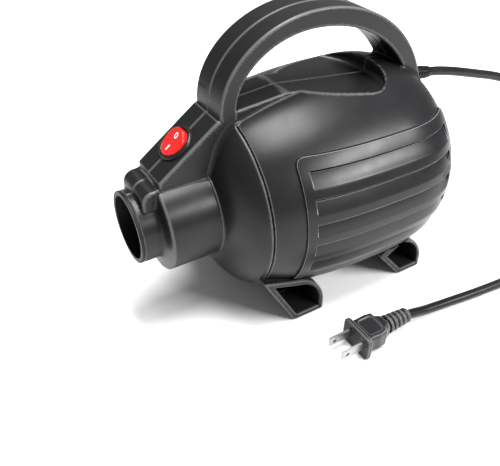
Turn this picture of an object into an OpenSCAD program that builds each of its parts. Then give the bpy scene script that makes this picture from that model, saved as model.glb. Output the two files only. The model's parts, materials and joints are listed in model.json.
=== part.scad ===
// Electric air mattress pump: a mains blower in a clamshell housing with a loop handle.
// Millimetres. +Z is up, the outlet points along -X and the floor is z = 0.
// The origin is on the floor under the middle of the pump.

/* [Body] */
// Largest radius of the egg-shaped body
body_r = 70; // [69:0.5:71]
// Height of the body's axis above the floor
axis_z = 75; // [74.5:0.5:76]
// Thickness of the housing shells
wall = 2.5; // [2:0.1:2.8]

/* [Outlet] */
// Radius of the bore that the adapters push into
outlet_bore_r = 19.5; // [18:0.5:19.5]
// Outer radius at the rim of the outlet
tip_r = 22.5; // [22.5:0.1:23]
// Outer radius of the wide part of the outlet
nozzle_r = 32; // [31:0.5:32]

/* [Handle] */
// Width of the handle across the pump
handle_w = 30; // [28:1:32]
// Thickness of the handle's band, seen from the side
band = 10; // [9.5:0.5:11]

/* [Switch] */
// Radius of the round switch bezel
bezel_r = 11.5; // [11:0.1:12]
// Turn of the rocker between its on and off stops, in degrees
rocker_throw = 18; // [12:1:20]

/* [Vents] */
// Number of louvre bands in each side panel
louvres = 6; // [4:1:6]
// Height of one recessed louvre band
louvre_h = 9; // [7:0.5:10]

/* [Motor] */
// Outer radius of the motor can
motor_r = 24; // [23:0.5:25]
// Radius of the motor shaft
shaft_r = 2; // [1.5:0.1:2.5]
// Number of armature slots
armature_slots = 10; // [6:1:12]

/* [Fan] */
// Outer radius of the impeller
fan_r = 49; // [44:1:50]
// Number of impeller blades
fan_blades = 9; // [6:1:12]
// Number of fixed guide vanes
guide_vanes = 12; // [8:1:16]

/* [Cord] */
// Diameter of the mains cord
cord_d = 6.5; // [6:0.1:7]

/* [Hidden] */
$fn = 72;
eps = 0.01;

// Body outline. The nose side and the tail side are two superellipse arcs.
belly_x = 42;
nose_run = 141.5;
nose_power = 2.6;
tail_run = 69.5;
tail_power = 2.9;
seam_x = -46.5;
seam_w = 1;
dome_r = 60;
dome_x = -41.5;
dome_run = 26;

// Outlet tube stations along X
tip_x = -111.5;
flare_x = -99.5;
shoulder_x = -96.2;
neck_x = -63.5;
duct_wall = 1.5;
duct_gap = 0.05;
cone_x = -66;

// Handle loop: two pairs of ellipse quarters, left and right of the crown
crown_x = 8;
crown_z = 186.5;
front_leg_x = -55;
front_spring_z = 138;
rear_spring_z = 108;
rear_leg_x = 95.5;
step_z = 136;

// Sloping switch face on the front web
slope_low = [-94.5, 108];
slope_high = [-56.5, step_z];
slope_angle = atan2(slope_high[1] - slope_low[1], slope_high[0] - slope_low[0]);
switch_along = 22.5;
switch_pos = [slope_low[0] + switch_along * cos(slope_angle), 0,
              slope_low[1] + switch_along * sin(slope_angle)];
switch_body_r = 10.2;
switch_hole_r = 10.4;
switch_depth = 11;
bezel_h = 1.8;
pocket_r = 9.25;
rocker_r = 8.8;
rocker_pin_r = 1.2;

// Finger scoop in the body's crown
scoop_front = [-16, 143.2];
scoop_slope = 6.1;
scoop_l = 73;
scoop_half_w = 36;
scoop_corner_r = 26;

// Side vent panels
panel_x = [-27.5, 89];
panel_z = [27, 121];
panel_proud = 1.6;
panel_corner_r = 5;
louvre_x = [-21.5, 83];
louvre_top = 114.5;
louvre_pitch = 14.6;
louvre_sink = 1.9;
louvre_gap = 2.2;
window_margin = 2.6;

// Feet
foot_half_l = 55;
foot_pocket = 24;

// Screws
boss_r = 4.6;
screw_r = 1.48;
screw_hole_r = 1.5;
head_r = 2.8;
head_hole_r = 3.1;
housing_screw_at = [[8, 181.2], [-50, 147], [83, 138.5], [-80, 49.3], [-1, 16], [68, 16], [99, 75]];
foot_screw_y = 22;
clamp_pos = [76, 116.5];
board_pos = [70, -19, 44];
board_size = [26, 38, 1.6];

// Fan stations along X
casing_x = -12;
casing_wall = 2.5;
casing_r = 58;
casing_l = 30;
eye_r = 22;
fan_back_x = -34;
fan_w = 18;
fan_plate = 1.6;
vane_x = -44;

// Motor stations along X
can_x = 2;
can_l = 50;
can_wall = 1.6;
end_bell_l = 5;
bush_r = 4;
bush_clear = 0.03;
magnet_in = 20;
core_r = 18.8;
core_x = 13;
core_l = 26;
comm_x = 44;
comm_l = 7.5;
comm_r = 6;
shaft_x = -37;
shaft_end_x = 60;
mount_w = 5;
mount_r = 28;

// Mains cord. The route points were chosen by eye and rounded.
cord_r = cord_d / 2;
cord_exit = [93.7, 0, 125.5];
cord_droop = 8;
gland_r = 4.6;
boot_l = 22;
boot_r = 5.4;
boot_tip_r = 4;
flange_r = 5.6;
flange_in = [-9, -6.7];
boot_end = [cord_exit[0] + boot_l * cos(cord_droop), 0, cord_exit[2] - boot_l * sin(cord_droop)];
coil_c = [272, -60];
coil_r = 37;
coil_w = 22;
coil_lift = 0.6;
coil_h = 13.2;
tie_t = 0.8;
tie_w = 12;
plug_x = -7;
plug_y = -94.5;
plug_z = 9;
plug_l = 42;
blade_l = 15.5;
blade_w = 6.35;
blade_t = 1.5;
blade_pitch = 12.7;
route_down = [boot_end, [125, 0, 121], [140, 0, 117.5], [155, 0, 113.3], [170, 0, 108.9],
              [185, 0, 104.4], [200, -1, 99], [213, -2, 91], [224, -4, 80], [231, -6, 66],
              [236, -8, 51], [240, -10, 37], [245, -12, 25], [252, -14, 15], [261, -15.2, 8],
              [272, -15.6, 4]];
route_to_plug = [[272, -104.4, 10.4], [262, -104.4, 9.4], [250, -104.3, 7.6], [237, -104, 5.8],
                 [222, -103.6, 4.4], [205, -103.2, 3.6], [185, -103, 3.4], [160, -103, 3.4],
                 [138, -102.5, 3.4], [117, -101.5, 3.4], [95, -99.5, 3.4], [70, -96.5, 3.6],
                 [52, -95.2, 5], [42, -94.7, 7], [plug_x + plug_l - 1, plug_y, plug_z]];

// ---------------------------------------------------------------- shared helpers

// Turns a profile of [radius, x] points about the body's axis
module spin(a = 360)
    translate([0, 0, axis_z])
        rotate([0, 90, 0])
            rotate_extrude(angle = a)
                children();

// The same, but only the half on the left side (-Y)
module spin_left()
    mirror([0, 1, 0])
        spin(180)
            children();

// Extrudes a side-view shape of [x, z] points from the middle plane towards -Y
module side_plate(w)
    rotate([90, 0, 0])
        linear_extrude(w)
            children();

module disc(r, x0, x1)
    translate([x0, 0, axis_z])
        rotate([0, 90, 0])
            cylinder(r = r, h = x1 - x0);

module ring(r_in, r_out, x0, x1)
    difference() {
        disc(r_out, x0, x1);
        disc(r_in, x0 - eps, x1 + eps);
    }

// Points of an ellipse arc in the side view, from angle a0 to a1
function arc(c, a, b, a0, a1, n) =
    [for (i = [0:n]) let (t = a0 + (a1 - a0) * i / n) [c[0] + a * cos(t), c[1] + b * sin(t)]];

// Egg outline from the seam to the tail, grown outwards by g
function egg(g) = concat(
    [for (t = [32:-4:4]) [(body_r + g) * cos(t), belly_x - nose_run * pow(sin(t), 2 / nose_power)]],
    [for (t = [0:6:90]) [max((body_r + g) * cos(t), 0),
                         belly_x + (tail_run + g) * pow(sin(t), 2 / tail_power)]]);

// Dome outline from the neck to the seam, grown outwards by g and no narrower than low
function dome(g, low) =
    [for (x = [neck_x:1.5:seam_x - 1])
        [max(low, (dome_r + g) * sqrt(max(0, 1 - pow((x - dome_x) / (dome_run + g), 2)))), x]];

function egg_r_at(x) = body_r * sqrt(1 - (x < belly_x
    ? pow((belly_x - x) / nose_run, nose_power)
    : pow((x - belly_x) / tail_run, tail_power)));

seam_r = dome_r * sqrt(1 - pow((seam_x - dome_x) / dome_run, 2));

// ---------------------------------------------------------------- housing

module skin_profile()
    polygon(concat(
        [[0, tip_x], [tip_r, tip_x], [tip_r, flare_x], [tip_r + 2, shoulder_x - 1.5],
         [nozzle_r - 1, shoulder_x], [nozzle_r, shoulder_x + 1]],
        dome(0, nozzle_r),
        [[seam_r, seam_x], [seam_r - 1, seam_x], [seam_r - 1, seam_x + seam_w],
         [egg_r_at(seam_x + seam_w), seam_x + seam_w]],
        egg(0)));

module cavity_profile()
    polygon(concat(
        [[0, tip_x - 1], [outlet_bore_r + duct_wall + duct_gap, tip_x - 1],
         [outlet_bore_r + duct_wall + duct_gap, shoulder_x + 2],
         [nozzle_r - wall, shoulder_x + 3]],
        dome(-wall, nozzle_r - wall),
        [[seam_r - wall - 1, seam_x], [seam_r - wall - 1, seam_x + 2 * seam_w + 1]],
        egg(-wall)));

// Outline of the web, the loop and the rear leg, with the outside drawn in by g
function loop_outer(g) = concat(
    [[front_leg_x + g, step_z]],
    arc([crown_x, front_spring_z], crown_x - front_leg_x - g, crown_z - front_spring_z - g, 180, 90, 14),
    arc([crown_x, rear_spring_z], rear_leg_x - crown_x - g, crown_z - rear_spring_z - g, 90, 0, 16),
    [[rear_leg_x - g, rear_spring_z - 10]]);

// Hand opening, grown by g
function hand_hole(g) = concat(
    arc([crown_x - 3, front_spring_z], crown_x - 3 - front_leg_x - band + g,
        crown_z - front_spring_z - band - 0.5 + g, 180, 90, 12),
    arc([crown_x - 3, rear_spring_z], rear_leg_x - crown_x - band - 4 + 7 + g,
        crown_z - rear_spring_z - band - 0.5 + g, 90, 10, 14));

module web_outline()
    polygon(concat(
        [[-105.5, 90], [-105.5, 97.5], [-104, 100], [-101.5, 102], [-98.5, 103.5], [slope_low[0], 104],
         slope_low, slope_high],
        loop_outer(0),
        [[60, rear_spring_z - 10], [60, 128], [-20, 128], [-50, 100]]));

module web_cavity()
    polygon(concat(
        [[slope_low[0] + wall, 92], [slope_low[0] + wall, slope_low[1] - wall / 2],
         [slope_high[0] + wall, slope_high[1] - wall]],
        loop_outer(wall),
        [[60, rear_spring_z - 10], [60, 110], [-20, 110], [-50, 92]]));

// Rib along the crown that carries the front leg back to the scoop
module crown_rib()
    polygon([[front_leg_x + band - 0.5, 120], [front_leg_x + band - 0.5, 139.6], [-30, 141],
             [-8, 143.2], [-2, 142], [-2, 130]]);

module hand_opening_outline(g)
    polygon(concat(hand_hole(g), [[60, 112], [front_leg_x + band - g, 112]]));

// Sloped block with rounded rear corners that cuts the finger scoop, sunk by d
module scoop(d)
    translate([scoop_front[0], 0, scoop_front[1] - d])
        rotate([0, scoop_slope, 0])
            linear_extrude(14 + d) {
                translate([-10, -scoop_half_w - d])
                    square([scoop_l - scoop_corner_r + 10, 2 * (scoop_half_w + d)]);
                translate([-10, scoop_corner_r - scoop_half_w])
                    square([scoop_l + d + 10, 2 * (scoop_half_w - scoop_corner_r)]);
                for (y = [-1, 1])
                    translate([scoop_l - scoop_corner_r, y * (scoop_half_w - scoop_corner_r)])
                        circle(r = scoop_corner_r + d);
            }

module panel_outline(margin_x, margin_z) {
    x0 = panel_x[0] + margin_x;
    x1 = panel_x[1] - margin_x;
    z0 = panel_z[0] + margin_z;
    z1 = panel_z[1] - margin_z;
    for (x = [x0 + panel_corner_r, x1 - panel_corner_r], z = [z0 + panel_corner_r, z1 - panel_corner_r])
        translate([x, z])
            circle(r = panel_corner_r, $fn = 32);
    translate([x0, z0 + panel_corner_r])
        square([x1 - x0, z1 - z0 - 2 * panel_corner_r]);
    translate([x0 + panel_corner_r, z0])
        square([x1 - x0 - 2 * panel_corner_r, z1 - z0]);
}

module screw_axis(at)
    translate([at[0], 0, at[1]])
        rotate([90, 0, 0])
            children();

// Cradle arms and ring that hold one rubber motor mount
module cradle(x) {
    spin_left()
        polygon([[mount_r + 0.05, x], [mount_r + 3, x], [mount_r + 3, x + mount_w], [mount_r + 0.05, x + mount_w]]);
    intersection() {
        spin_left()
            polygon([[mount_r + 1, x], [body_r - 1, x], [body_r - 1, x + mount_w], [mount_r + 1, x + mount_w]]);
        union() {
            for (a = [-58, 0, 58])
                translate([x, 0, axis_z])
                    rotate([a, 0, 0])
                        translate([0, -body_r - 5, -2])
                            cube([mount_w, body_r - 20, 4]);
        }
        spin_left()
            polygon(concat([[0, seam_x]], egg(-1)));
    }
}

// Web, loop and rear leg as one plate on the left of the middle plane
module loop_plate(w)
    side_plate(w)
        difference() {
            web_outline();
            hand_opening_outline(0);
        }

// One side of the housing without its screw bosses, on the left
module shell_half() {
    difference() {
        union() {
            spin_left()
                skin_profile();
            loop_plate(handle_w / 2);
            side_plate(handle_w / 2)
                crown_rib();
        }
        scoop(0);
        difference() {
            spin_left()
                cavity_profile();
            scoop(wall);
        }
        side_plate(handle_w / 2 - wall)
            difference() {
                web_cavity();
                hand_opening_outline(wall);
            }
        gland_hole();
        switch_hole();
        vent_window();
    }
    cradle(can_x + 1);
    cradle(can_x + can_l - mount_w - 1);
    board_post();
    clamp_post();
}

// Post under one corner of the rectifier board
module board_post()
    difference() {
        intersection() {
            translate([board_pos[0] + 4, board_pos[1] + 4, 0])
                cylinder(r = 3.5, h = board_pos[2], $fn = 32);
            spin_left()
                skin_profile();
        }
        translate([board_pos[0] + 4, board_pos[1] + 4, board_pos[2] - 8])
            cylinder(r = screw_hole_r, h = 9, $fn = 32);
    }

// Bracket off the tail wall that the cord clamp is screwed to
module clamp_post()
    difference() {
        intersection() {
            union() {
                translate([clamp_pos[0] - 4, -11.5, clamp_pos[1] - 13])
                    cube([8, 7.5, 10]);
                translate([clamp_pos[0] + 3, -11.5, clamp_pos[1] - 13])
                    cube([40, 3, 8]);
            }
            spin_left()
                skin_profile();
        }
        translate([clamp_pos[0], -8, clamp_pos[1] - 12])
            cylinder(r = screw_hole_r, h = 10, $fn = 32);
    }

// Ways past the bosses in the handle for the switch leads, each as [x, z, turn]
module wire_ways()
    for (w = [[crown_x, 181.2, 90], [-48.8, 147, 15], [82.9, 138.5, -27]])
        translate([w[0], lead_y, w[1]])
            rotate([0, w[2], 0])
                cube([5, 2.6, 16], center = true);

// Hole for the strain relief's neck, wider outside where its collar stands
module gland_hole()
    at_gland() {
        translate([0, 0, -12])
            cylinder(r = gland_r + 0.1, h = 24);
        translate([0, 0, 0.7])
            cylinder(r = boot_r + 0.15, h = 24);
    }

// Places its children on the cord's axis at the rear leg's outer face, with +Z along the cord
module at_gland()
    translate(cord_exit)
        rotate([0, 90 + cord_droop, 0])
            children();

module switch_hole()
    translate(switch_pos)
        rotate([0, -slope_angle, 0])
            translate([0, 0, -8])
                cylinder(r = switch_hole_r, h = 20);

module vent_window()
    rotate([90, 0, 0])
        translate([0, 0, 40])
            linear_extrude(40)
                translate([louvre_x[0] - window_margin, panel_z[0] + 4])
                    square([louvre_x[1] - louvre_x[0] + 2 * window_margin, panel_z[1] - panel_z[0] - 8]);

module boss_solids(r)
    for (at = housing_screw_at)
        screw_axis(at)
            cylinder(r = r, h = 70, $fn = 32);

module housing_bosses(r)
    intersection() {
        boss_solids(r);
        union() {
            spin_left()
                skin_profile();
            loop_plate(handle_w / 2);
        }
    }

module left_housing()
    color("#2e3033")
        difference() {
            union() {
                shell_half();
                housing_bosses(boss_r);
            }
            for (at = housing_screw_at)
                screw_axis(at)
                    translate([0, 0, -1])
                        cylinder(r = screw_hole_r, h = 10, $fn = 32);
            wire_ways();
        }

module right_housing()
    color("#2e3033")
        mirror([0, 1, 0])
            difference() {
                union() {
                    shell_half();
                    housing_bosses(boss_r);
                }
                for (at = housing_screw_at)
                    screw_axis(at) {
                        translate([0, 0, -1])
                            cylinder(r = screw_hole_r + 0.2, h = 80, $fn = 32);
                        translate([0, 0, 5])
                            cylinder(r = head_hole_r, h = 80, $fn = 32);
                    }
            }

module housing_screws()
    color("#b9bcc0")
        for (at = housing_screw_at)
            mirror([0, 1, 0])
                screw_axis(at)
                    difference() {
                        union() {
                            translate([0, 0, -8])
                                cylinder(r = screw_r, h = 14, $fn = 24);
                            translate([0, 0, 5])
                                cylinder(r = head_r, h = 2.2, $fn = 32);
                        }
                        translate([0, 0, 6])
                            cross_recess();
                    }

module cross_recess()
    for (a = [0, 90])
        rotate([0, 0, a])
            translate([-1.6, -0.35, 0])
                cube([3.2, 0.7, 2]);

// ---------------------------------------------------------------- outlet duct

module outlet_duct()
    color("#26282a")
        spin()
            polygon([[outlet_bore_r, tip_x], [outlet_bore_r + duct_wall, tip_x],
                     [outlet_bore_r + duct_wall, cone_x], [54, seam_x + 0.8], [54, seam_x + 2.5],
                     [52.5, seam_x + 2.5], [52.5, seam_x + 1.2], [outlet_bore_r, cone_x + 0.6]]);

// ---------------------------------------------------------------- vent panels

module vent_panel() {
    difference() {
        intersection() {
            spin_left()
                difference() {
                    polygon(concat([[0, -60]], egg(panel_proud)));
                    polygon(concat([[0, -60]], egg(0.1)));
                }
            side_plate(body_r + 5)
                panel_outline(0, 0);
        }
        side_plate(body_r + 5)
            louvre_bands(0, 0);
    }
    intersection() {
        spin_left()
            difference() {
                polygon(concat([[0, -60]], egg(0.4)));
                polygon(concat([[0, -60]], egg(0.4 - louvre_sink)));
            }
        side_plate(body_r + 5)
            louvre_bands(1, louvre_gap);
    }
}

module louvre_bands(extra, gap)
    for (i = [0:louvres - 1])
        translate([louvre_x[0] - extra, louvre_top - i * louvre_pitch - louvre_h - extra])
            square([louvre_x[1] - louvre_x[0] + 2 * extra, louvre_h - gap + extra]);

module left_vent_panel()
    color("#35373a")
        vent_panel();

module right_vent_panel()
    color("#35373a")
        mirror([0, 1, 0])
            vent_panel();

// ---------------------------------------------------------------- feet

function foot_front_pts() = concat([[-50, 43], [-26.5, 1], [-25, 0], [-3.5, 0], [-2.5, 1]],
    arc([-30, 6], 27.5, 29, 0, 80, 8));
function foot_rear_pts() = concat([[44, 24], [63.5, 1], [65, 0], [83, 0], [84, 1]],
    arc([55, 5], 29, 29, 0, 80, 8));

module foot(pts, x_mid) {
    difference() {
        translate([0, foot_half_l, 0])
            side_plate(2 * foot_half_l)
                polygon(pts);
        spin()
            polygon(concat([[0, seam_x - 14], [seam_r - 8, seam_x - 8], [seam_r, seam_x]], egg(0.1)));
        for (s = [0, 1])
            mirror([0, s, 0])
                panel_room();
        for (s = [0, 1])
            mirror([0, s, 0])
                translate([0, -foot_half_l + foot_pocket, 0])
                    side_plate(foot_pocket + 1)
                        foot_pocket_shape(pts, x_mid);
        for (y = [-foot_screw_y, foot_screw_y])
            translate([x_mid, y, -1]) {
                cylinder(r = screw_hole_r, h = 40, $fn = 32);
                cylinder(r = head_hole_r, h = 4, $fn = 32);
            }
    }
}

// Room for the vent panel, which stands proud of the body
module panel_room()
    intersection() {
        spin()
            polygon(concat([[0, -60]], egg(panel_proud + 0.1)));
        side_plate(body_r + 5)
            panel_outline(-0.1, -0.1);
    }

// The pocket is the foot's outline shrunk about its own middle
module foot_pocket_shape(pts, x_mid)
    translate([x_mid - 2, 16])
        scale(0.76)
            translate([-x_mid + 2, -16])
                polygon(pts);

module front_foot()
    color("#1f2022")
        foot(foot_front_pts(), -14);

module rear_foot()
    color("#1f2022")
        foot(foot_rear_pts(), 74);

module foot_screws()
    color("#b9bcc0")
        for (x = [-14, 74], y = [-foot_screw_y, foot_screw_y])
            translate([x, y, 0.8])
                difference() {
                    union() {
                        cylinder(r = head_r, h = 2.1, $fn = 32);
                        cylinder(r = screw_r, h = 9, $fn = 24);
                    }
                    translate([0, 0, -0.9])
                        cross_recess();
                }

// ---------------------------------------------------------------- switch

// Places its children on the sloping face: +X runs up the slope and +Z points out of it
module on_slope()
    translate(switch_pos)
        rotate([0, -slope_angle, 0])
            children();

module switch_bezel()
    color("#17181a")
        on_slope()
            difference() {
                union() {
                    cylinder(r = bezel_r, h = bezel_h);
                    translate([0, 0, -switch_depth])
                        cylinder(r = switch_body_r, h = switch_depth + eps);
                }
                translate([0, 0, -6])
                    cylinder(r = pocket_r, h = 6 + bezel_h + 1);
                rotate([90, 0, 0])
                    cylinder(r = rocker_pin_r + 0.05, h = 3 * bezel_r, center = true, $fn = 32);
            }

// Rocker at its on stop: the low end of the slope is pressed in
module switch_rocker()
    color("#d21f1f")
        on_slope()
            rotate([0, -rocker_throw / 2, 0]) {
                intersection() {
                    translate([0, 0, -3])
                        cylinder(r = rocker_r, h = 9);
                    rotate([90, 0, 0])
                        translate([0, 0, -rocker_r])
                            linear_extrude(2 * rocker_r)
                                polygon([[-rocker_r, -2], [-3, -3], [3, -3], [rocker_r, -2],
                                         [rocker_r, 3.6], [4, 2.7], [0, 2.4], [-4, 2.7], [-rocker_r, 3.6]]);
                }
                rotate([90, 0, 0])
                    cylinder(r = rocker_pin_r, h = 2 * pocket_r + 1, center = true, $fn = 32);
            }

module switch_terminals()
    color("#c9a24a")
        on_slope()
            for (x = [-5, 0, 5])
                translate([x - 0.4, -2.4, -switch_depth - 6])
                    cube([0.8, 4.8, 6]);

// ---------------------------------------------------------------- fan

// Partition with the intake eye, and the skirt around the impeller
module fan_casing()
    color("#4a4d50")
        spin()
            polygon([[eye_r, casing_x - 3], [eye_r + 1.5, casing_x - 3], [eye_r + 3, casing_x],
                     [casing_r - casing_wall, casing_x], [casing_r - casing_wall, casing_x - casing_l + 3],
                     [casing_r - casing_wall - 4, casing_x - casing_l + 1.5],
                     [casing_r - casing_wall - 4, casing_x - casing_l], [casing_r, casing_x - casing_l],
                     [casing_r, casing_x + casing_wall - 1], [egg_r_at(casing_x) - wall - 0.2, casing_x + casing_wall - 1],
                     [egg_r_at(casing_x) - wall - 0.2, casing_x + casing_wall], [eye_r + 2, casing_x + casing_wall],
                     [eye_r, casing_x + casing_wall - 2]]);

// Fixed vanes behind the impeller that straighten the air into the outlet duct
module guide_vane_ring()
    color("#3a3d40") {
        disc(40, vane_x + 2, vane_x + 4);
        spin()
            polygon([[50.6, vane_x], [52, vane_x], [52, vane_x + 1.9], [50.6, vane_x + 1.9]]);
        for (i = [0:guide_vanes - 1])
            translate([vane_x + 0.5, 0, axis_z])
                rotate([360 / guide_vanes * i, 0, 0])
                    translate([0, 38.5, 0])
                        cube([2.8, 13, 1.4]);
    }

module impeller()
    color("#e8e6df")
        translate([fan_back_x, 0, axis_z])
            rotate([0, 90, 0])
                difference() {
                    union() {
                        cylinder(r = fan_r, h = fan_plate);
                        cylinder(r = 7, h = 11);
                        translate([0, 0, fan_w - fan_plate])
                            difference() {
                                cylinder(r = fan_r, h = fan_plate);
                                translate([0, 0, -1])
                                    cylinder(r = eye_r - 1, h = fan_plate + 2);
                            }
                        for (i = [0:fan_blades - 1])
                            rotate([0, 0, 360 / fan_blades * i])
                                linear_extrude(fan_w - eps)
                                    fan_blade();
                    }
                    translate([0, 0, -1])
                        cylinder(r = shaft_r, h = fan_w);
                }

// One backward-curved blade between two arcs
module fan_blade() {
    function blade_pt(t, off) = let (r = 12 + (fan_r - 12.5) * t, a = -55 * t * t)
        [r * cos(a) - off * sin(a), r * sin(a) + off * cos(a)];
    polygon(concat([for (t = [0:0.125:1]) blade_pt(t, 0.6)], [for (t = [1:-0.125:0]) blade_pt(t, -0.6)]));
}

module impeller_nut()
    color("#c8a850")
        difference() {
            translate([fan_back_x - 2.4, 0, axis_z])
                rotate([0, 90, 0])
                    cylinder(r = 4, h = 2.4, $fn = 6);
            disc(shaft_r, fan_back_x - 4, fan_back_x + 1);
        }

// ---------------------------------------------------------------- motor

module motor_shaft()
    color("#c4c7ca")
        disc(shaft_r, shaft_x, shaft_end_x);

module armature_core()
    color("#7d8084")
        translate([core_x, 0, axis_z])
            rotate([0, 90, 0])
                linear_extrude(core_l)
                    difference() {
                        circle(r = core_r);
                        circle(r = shaft_r);
                        for (i = [0:armature_slots - 1])
                            rotate(360 / armature_slots * i) {
                                translate([8.5, -2])
                                    square([7.5, 4]);
                                translate([14, -0.9])
                                    square([core_r, 1.8]);
                            }
                    }

module armature_windings()
    color("#b5651d") {
        for (x = [core_x - 6, core_x + core_l])
            spin()
                polygon([[7, x], [14, x], [16.5, x + 1.5], [16.5, x + 4.5], [14, x + 6], [7, x + 6]]);
        translate([core_x - eps, 0, axis_z])
            rotate([0, 90, 0])
                for (i = [0:armature_slots - 1])
                    rotate([0, 0, 360 / armature_slots * i])
                        translate([8.7, -1.8, 0])
                            cube([7.1, 3.6, core_l + 2 * eps]);
        ring(shaft_r + 1, 7 + eps, core_x - 5, core_x);
    }

module commutator()
    color("#b87333")
        translate([comm_x + 1.2, 0, axis_z])
            rotate([0, 90, 0])
                difference() {
                    union() {
                        cylinder(r = comm_r, h = comm_l - 1.2);
                        translate([0, 0, -0.19])
                            cylinder(r = comm_r + 1.5, h = 0.8);
                    }
                    translate([0, 0, -1])
                        cylinder(r = shaft_r, h = comm_l + 2);
                    for (i = [0:armature_slots - 1])
                        rotate([0, 0, 360 / armature_slots * (i + 0.5)])
                            translate([comm_r - 1, -0.2, -1])
                                cube([4, 0.4, comm_l + 2]);
                }

module motor_can()
    color("#a9acb0")
        difference() {
            union() {
                ring(motor_r - can_wall, motor_r, can_x, can_x + can_l);
                ring(bush_r, motor_r - eps, can_x, can_x + can_wall);
                ring(bush_r, bush_r + 3, can_x - 3, can_x + can_wall);
            }
            for (i = [0:3])
                translate([can_x - 1, 0, axis_z])
                    rotate([90 * i + 45, 0, 0])
                        translate([0, -4, 10])
                            cube([can_wall + 2, 8, 6]);
        }

module motor_magnets()
    color("#3b3b3d")
        translate([core_x - 2, 0, axis_z])
            rotate([0, 90, 0])
                for (a = [90, 270])
                    rotate([0, 0, a - 68])
                        rotate_extrude(angle = 136)
                            translate([magnet_in, 0])
                                square([motor_r - can_wall - magnet_in - 0.05, core_l + 4]);

module motor_end_bell()
    color("#222426")
        difference() {
            union() {
                ring(bush_r, motor_r, can_x + can_l, can_x + can_l + end_bell_l);
                ring(bush_r, bush_r + 3.5, can_x + can_l, can_x + can_l + end_bell_l + 1.5);
            }
            for (i = [0:3])
                translate([can_x + can_l - 1, 0, axis_z])
                    rotate([90 * i + 45, 0, 0])
                        translate([0, -4, 11])
                            cube([end_bell_l + 2, 8, 6]);
        }

module front_bush()
    color("#9a7440")
        ring(shaft_r + bush_clear, bush_r, can_x - 3, can_x + can_wall);

module rear_bush()
    color("#9a7440")
        ring(shaft_r + bush_clear, bush_r, can_x + can_l, can_x + can_l + end_bell_l);

// Brushes bear on the commutator from the left and the right
module brush_place()
    for (s = [0, 1])
        mirror([0, s, 0])
            translate([comm_x + comm_l / 2 + 0.6, 0, axis_z])
                rotate([90, 0, 0])
                    children();

module brush_holders()
    color("#c2a14d")
        brush_place()
            translate([0, 0, comm_r + 2])
                difference() {
                    translate([-3, -3.5, 0])
                        cube([6, 7, 13]);
                    translate([-2.3, -2.8, -1])
                        cube([4.6, 5.6, 13]);
                }

module carbon_brushes()
    color("#28282a")
        brush_place()
            translate([-2.2, -2.7, comm_r + 0.3])
                cube([4.4, 5.4, 8]);

module brush_springs()
    color("#c4c7ca")
        brush_place()
            translate([0, 0, comm_r + 8.3])
                cylinder(r = 1.9, h = 5.7, $fn = 24);

module motor_mount(x)
    ring(motor_r, mount_r, x, x + mount_w);

module front_motor_mount()
    color("#1a1a1b")
        motor_mount(can_x + 1);

module rear_motor_mount()
    color("#1a1a1b")
        motor_mount(can_x + can_l - mount_w - 1);

// ---------------------------------------------------------------- electrics

module rectifier_board()
    color("#2f6b3a")
        translate(board_pos)
            difference() {
                cube(board_size);
                for (y = [4, board_size[1] - 4])
                    translate([4, y, -1])
                        cylinder(r = screw_hole_r, h = 4, $fn = 24);
            }

module board_components()
    color("#3a3a3c")
        translate([board_pos[0], board_pos[1], board_pos[2] + board_size[2]]) {
            translate([10, 6, 0])
                cube([13, 4, 9]);
            translate([15, 20, 0])
                cylinder(r = 5, h = 13, $fn = 32);
            translate([8, 27, 0])
                cube([14, 7, 8]);
        }

module board_screws()
    color("#b9bcc0")
        for (y = [4, board_size[1] - 4])
            translate([board_pos[0] + 4, board_pos[1] + y, board_pos[2] - 6])
                union() {
                    cylinder(r = screw_r - 0.1, h = 7.6, $fn = 24);
                    translate([0, 0, 6 + board_size[2]])
                        cylinder(r = head_r, h = 1.6, $fn = 24);
                }

// A round lead swept along a list of points
module lead(points, r, sides = 8) {
    n = len(points);
    function tangent(i) = let (d = points[min(i + 1, n - 1)] - points[max(i - 1, 0)]) d / norm(d);
    function sideways(i) = let (c = cross(tangent(i), [0.1, 0.2, 1])) c / norm(c);
    rings = [for (i = [0:n - 1]) let (t = tangent(i), u = sideways(i), v = cross(u, t))
             for (k = [0:sides - 1]) points[i] + r * (cos(360 * k / sides) * u + sin(360 * k / sides) * v)];
    faces = concat(
        [[for (k = [0:sides - 1]) k]],
        [for (i = [0:n - 2], k = [0:sides - 1])
            let (a = i * sides, b = a + sides, m = (k + 1) % sides) [a + k, b + k, b + m, a + m]],
        [[for (k = [sides - 1:-1:0]) (n - 1) * sides + k]]);
    polyhedron(rings, faces, convexity = 8);
}

// Points between the route's own points on a smooth curve through them
function smooth(p, per) = concat(
    [for (i = [0:len(p) - 2], j = [0:per - 1])
        let (a = p[max(i - 1, 0)], b = p[i], c = p[i + 1], d = p[min(i + 2, len(p) - 1)], t = j / per)
        0.5 * (2 * b + (c - a) * t + (2 * a - 5 * b + 4 * c - d) * t * t
               + (3 * b - 3 * c + d - a) * t * t * t)],
    [p[len(p) - 1]]);

// Middle of the handle's hollow from the switch to the rear leg, as [x, y, z]
lead_y = -handle_w / 2 + wall + 1.3;
lead_route = concat([[-61, -2, 110], [-57, -5, 117], [-51.5, -9, 128], [-49.8, lead_y, 138]],
    [for (p = concat(arc([crown_x - 1.5, front_spring_z], 56.5, 43.25, 168, 90, 6),
                     arc([crown_x - 1.5, rear_spring_z], 84, 73.25, 82, 24, 6))) [p[0], lead_y, p[1]]],
    [[87, -10, 129], [86, -9, 124]]);

// Two leads from the switch, through the handle, to the cord clamp
module switch_leads()
    color("#8c1c1c")
        for (s = [-1, 1])
            lead(smooth([for (i = [0:len(lead_route) - 1])
                let (d = lead_route[min(i + 1, len(lead_route) - 1)] - lead_route[max(i - 1, 0)])
                lead_route[i] + s * 1.2 * [-d[2], 0, d[0]] / norm([d[0], d[2]])], 3), 0.9);

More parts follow.
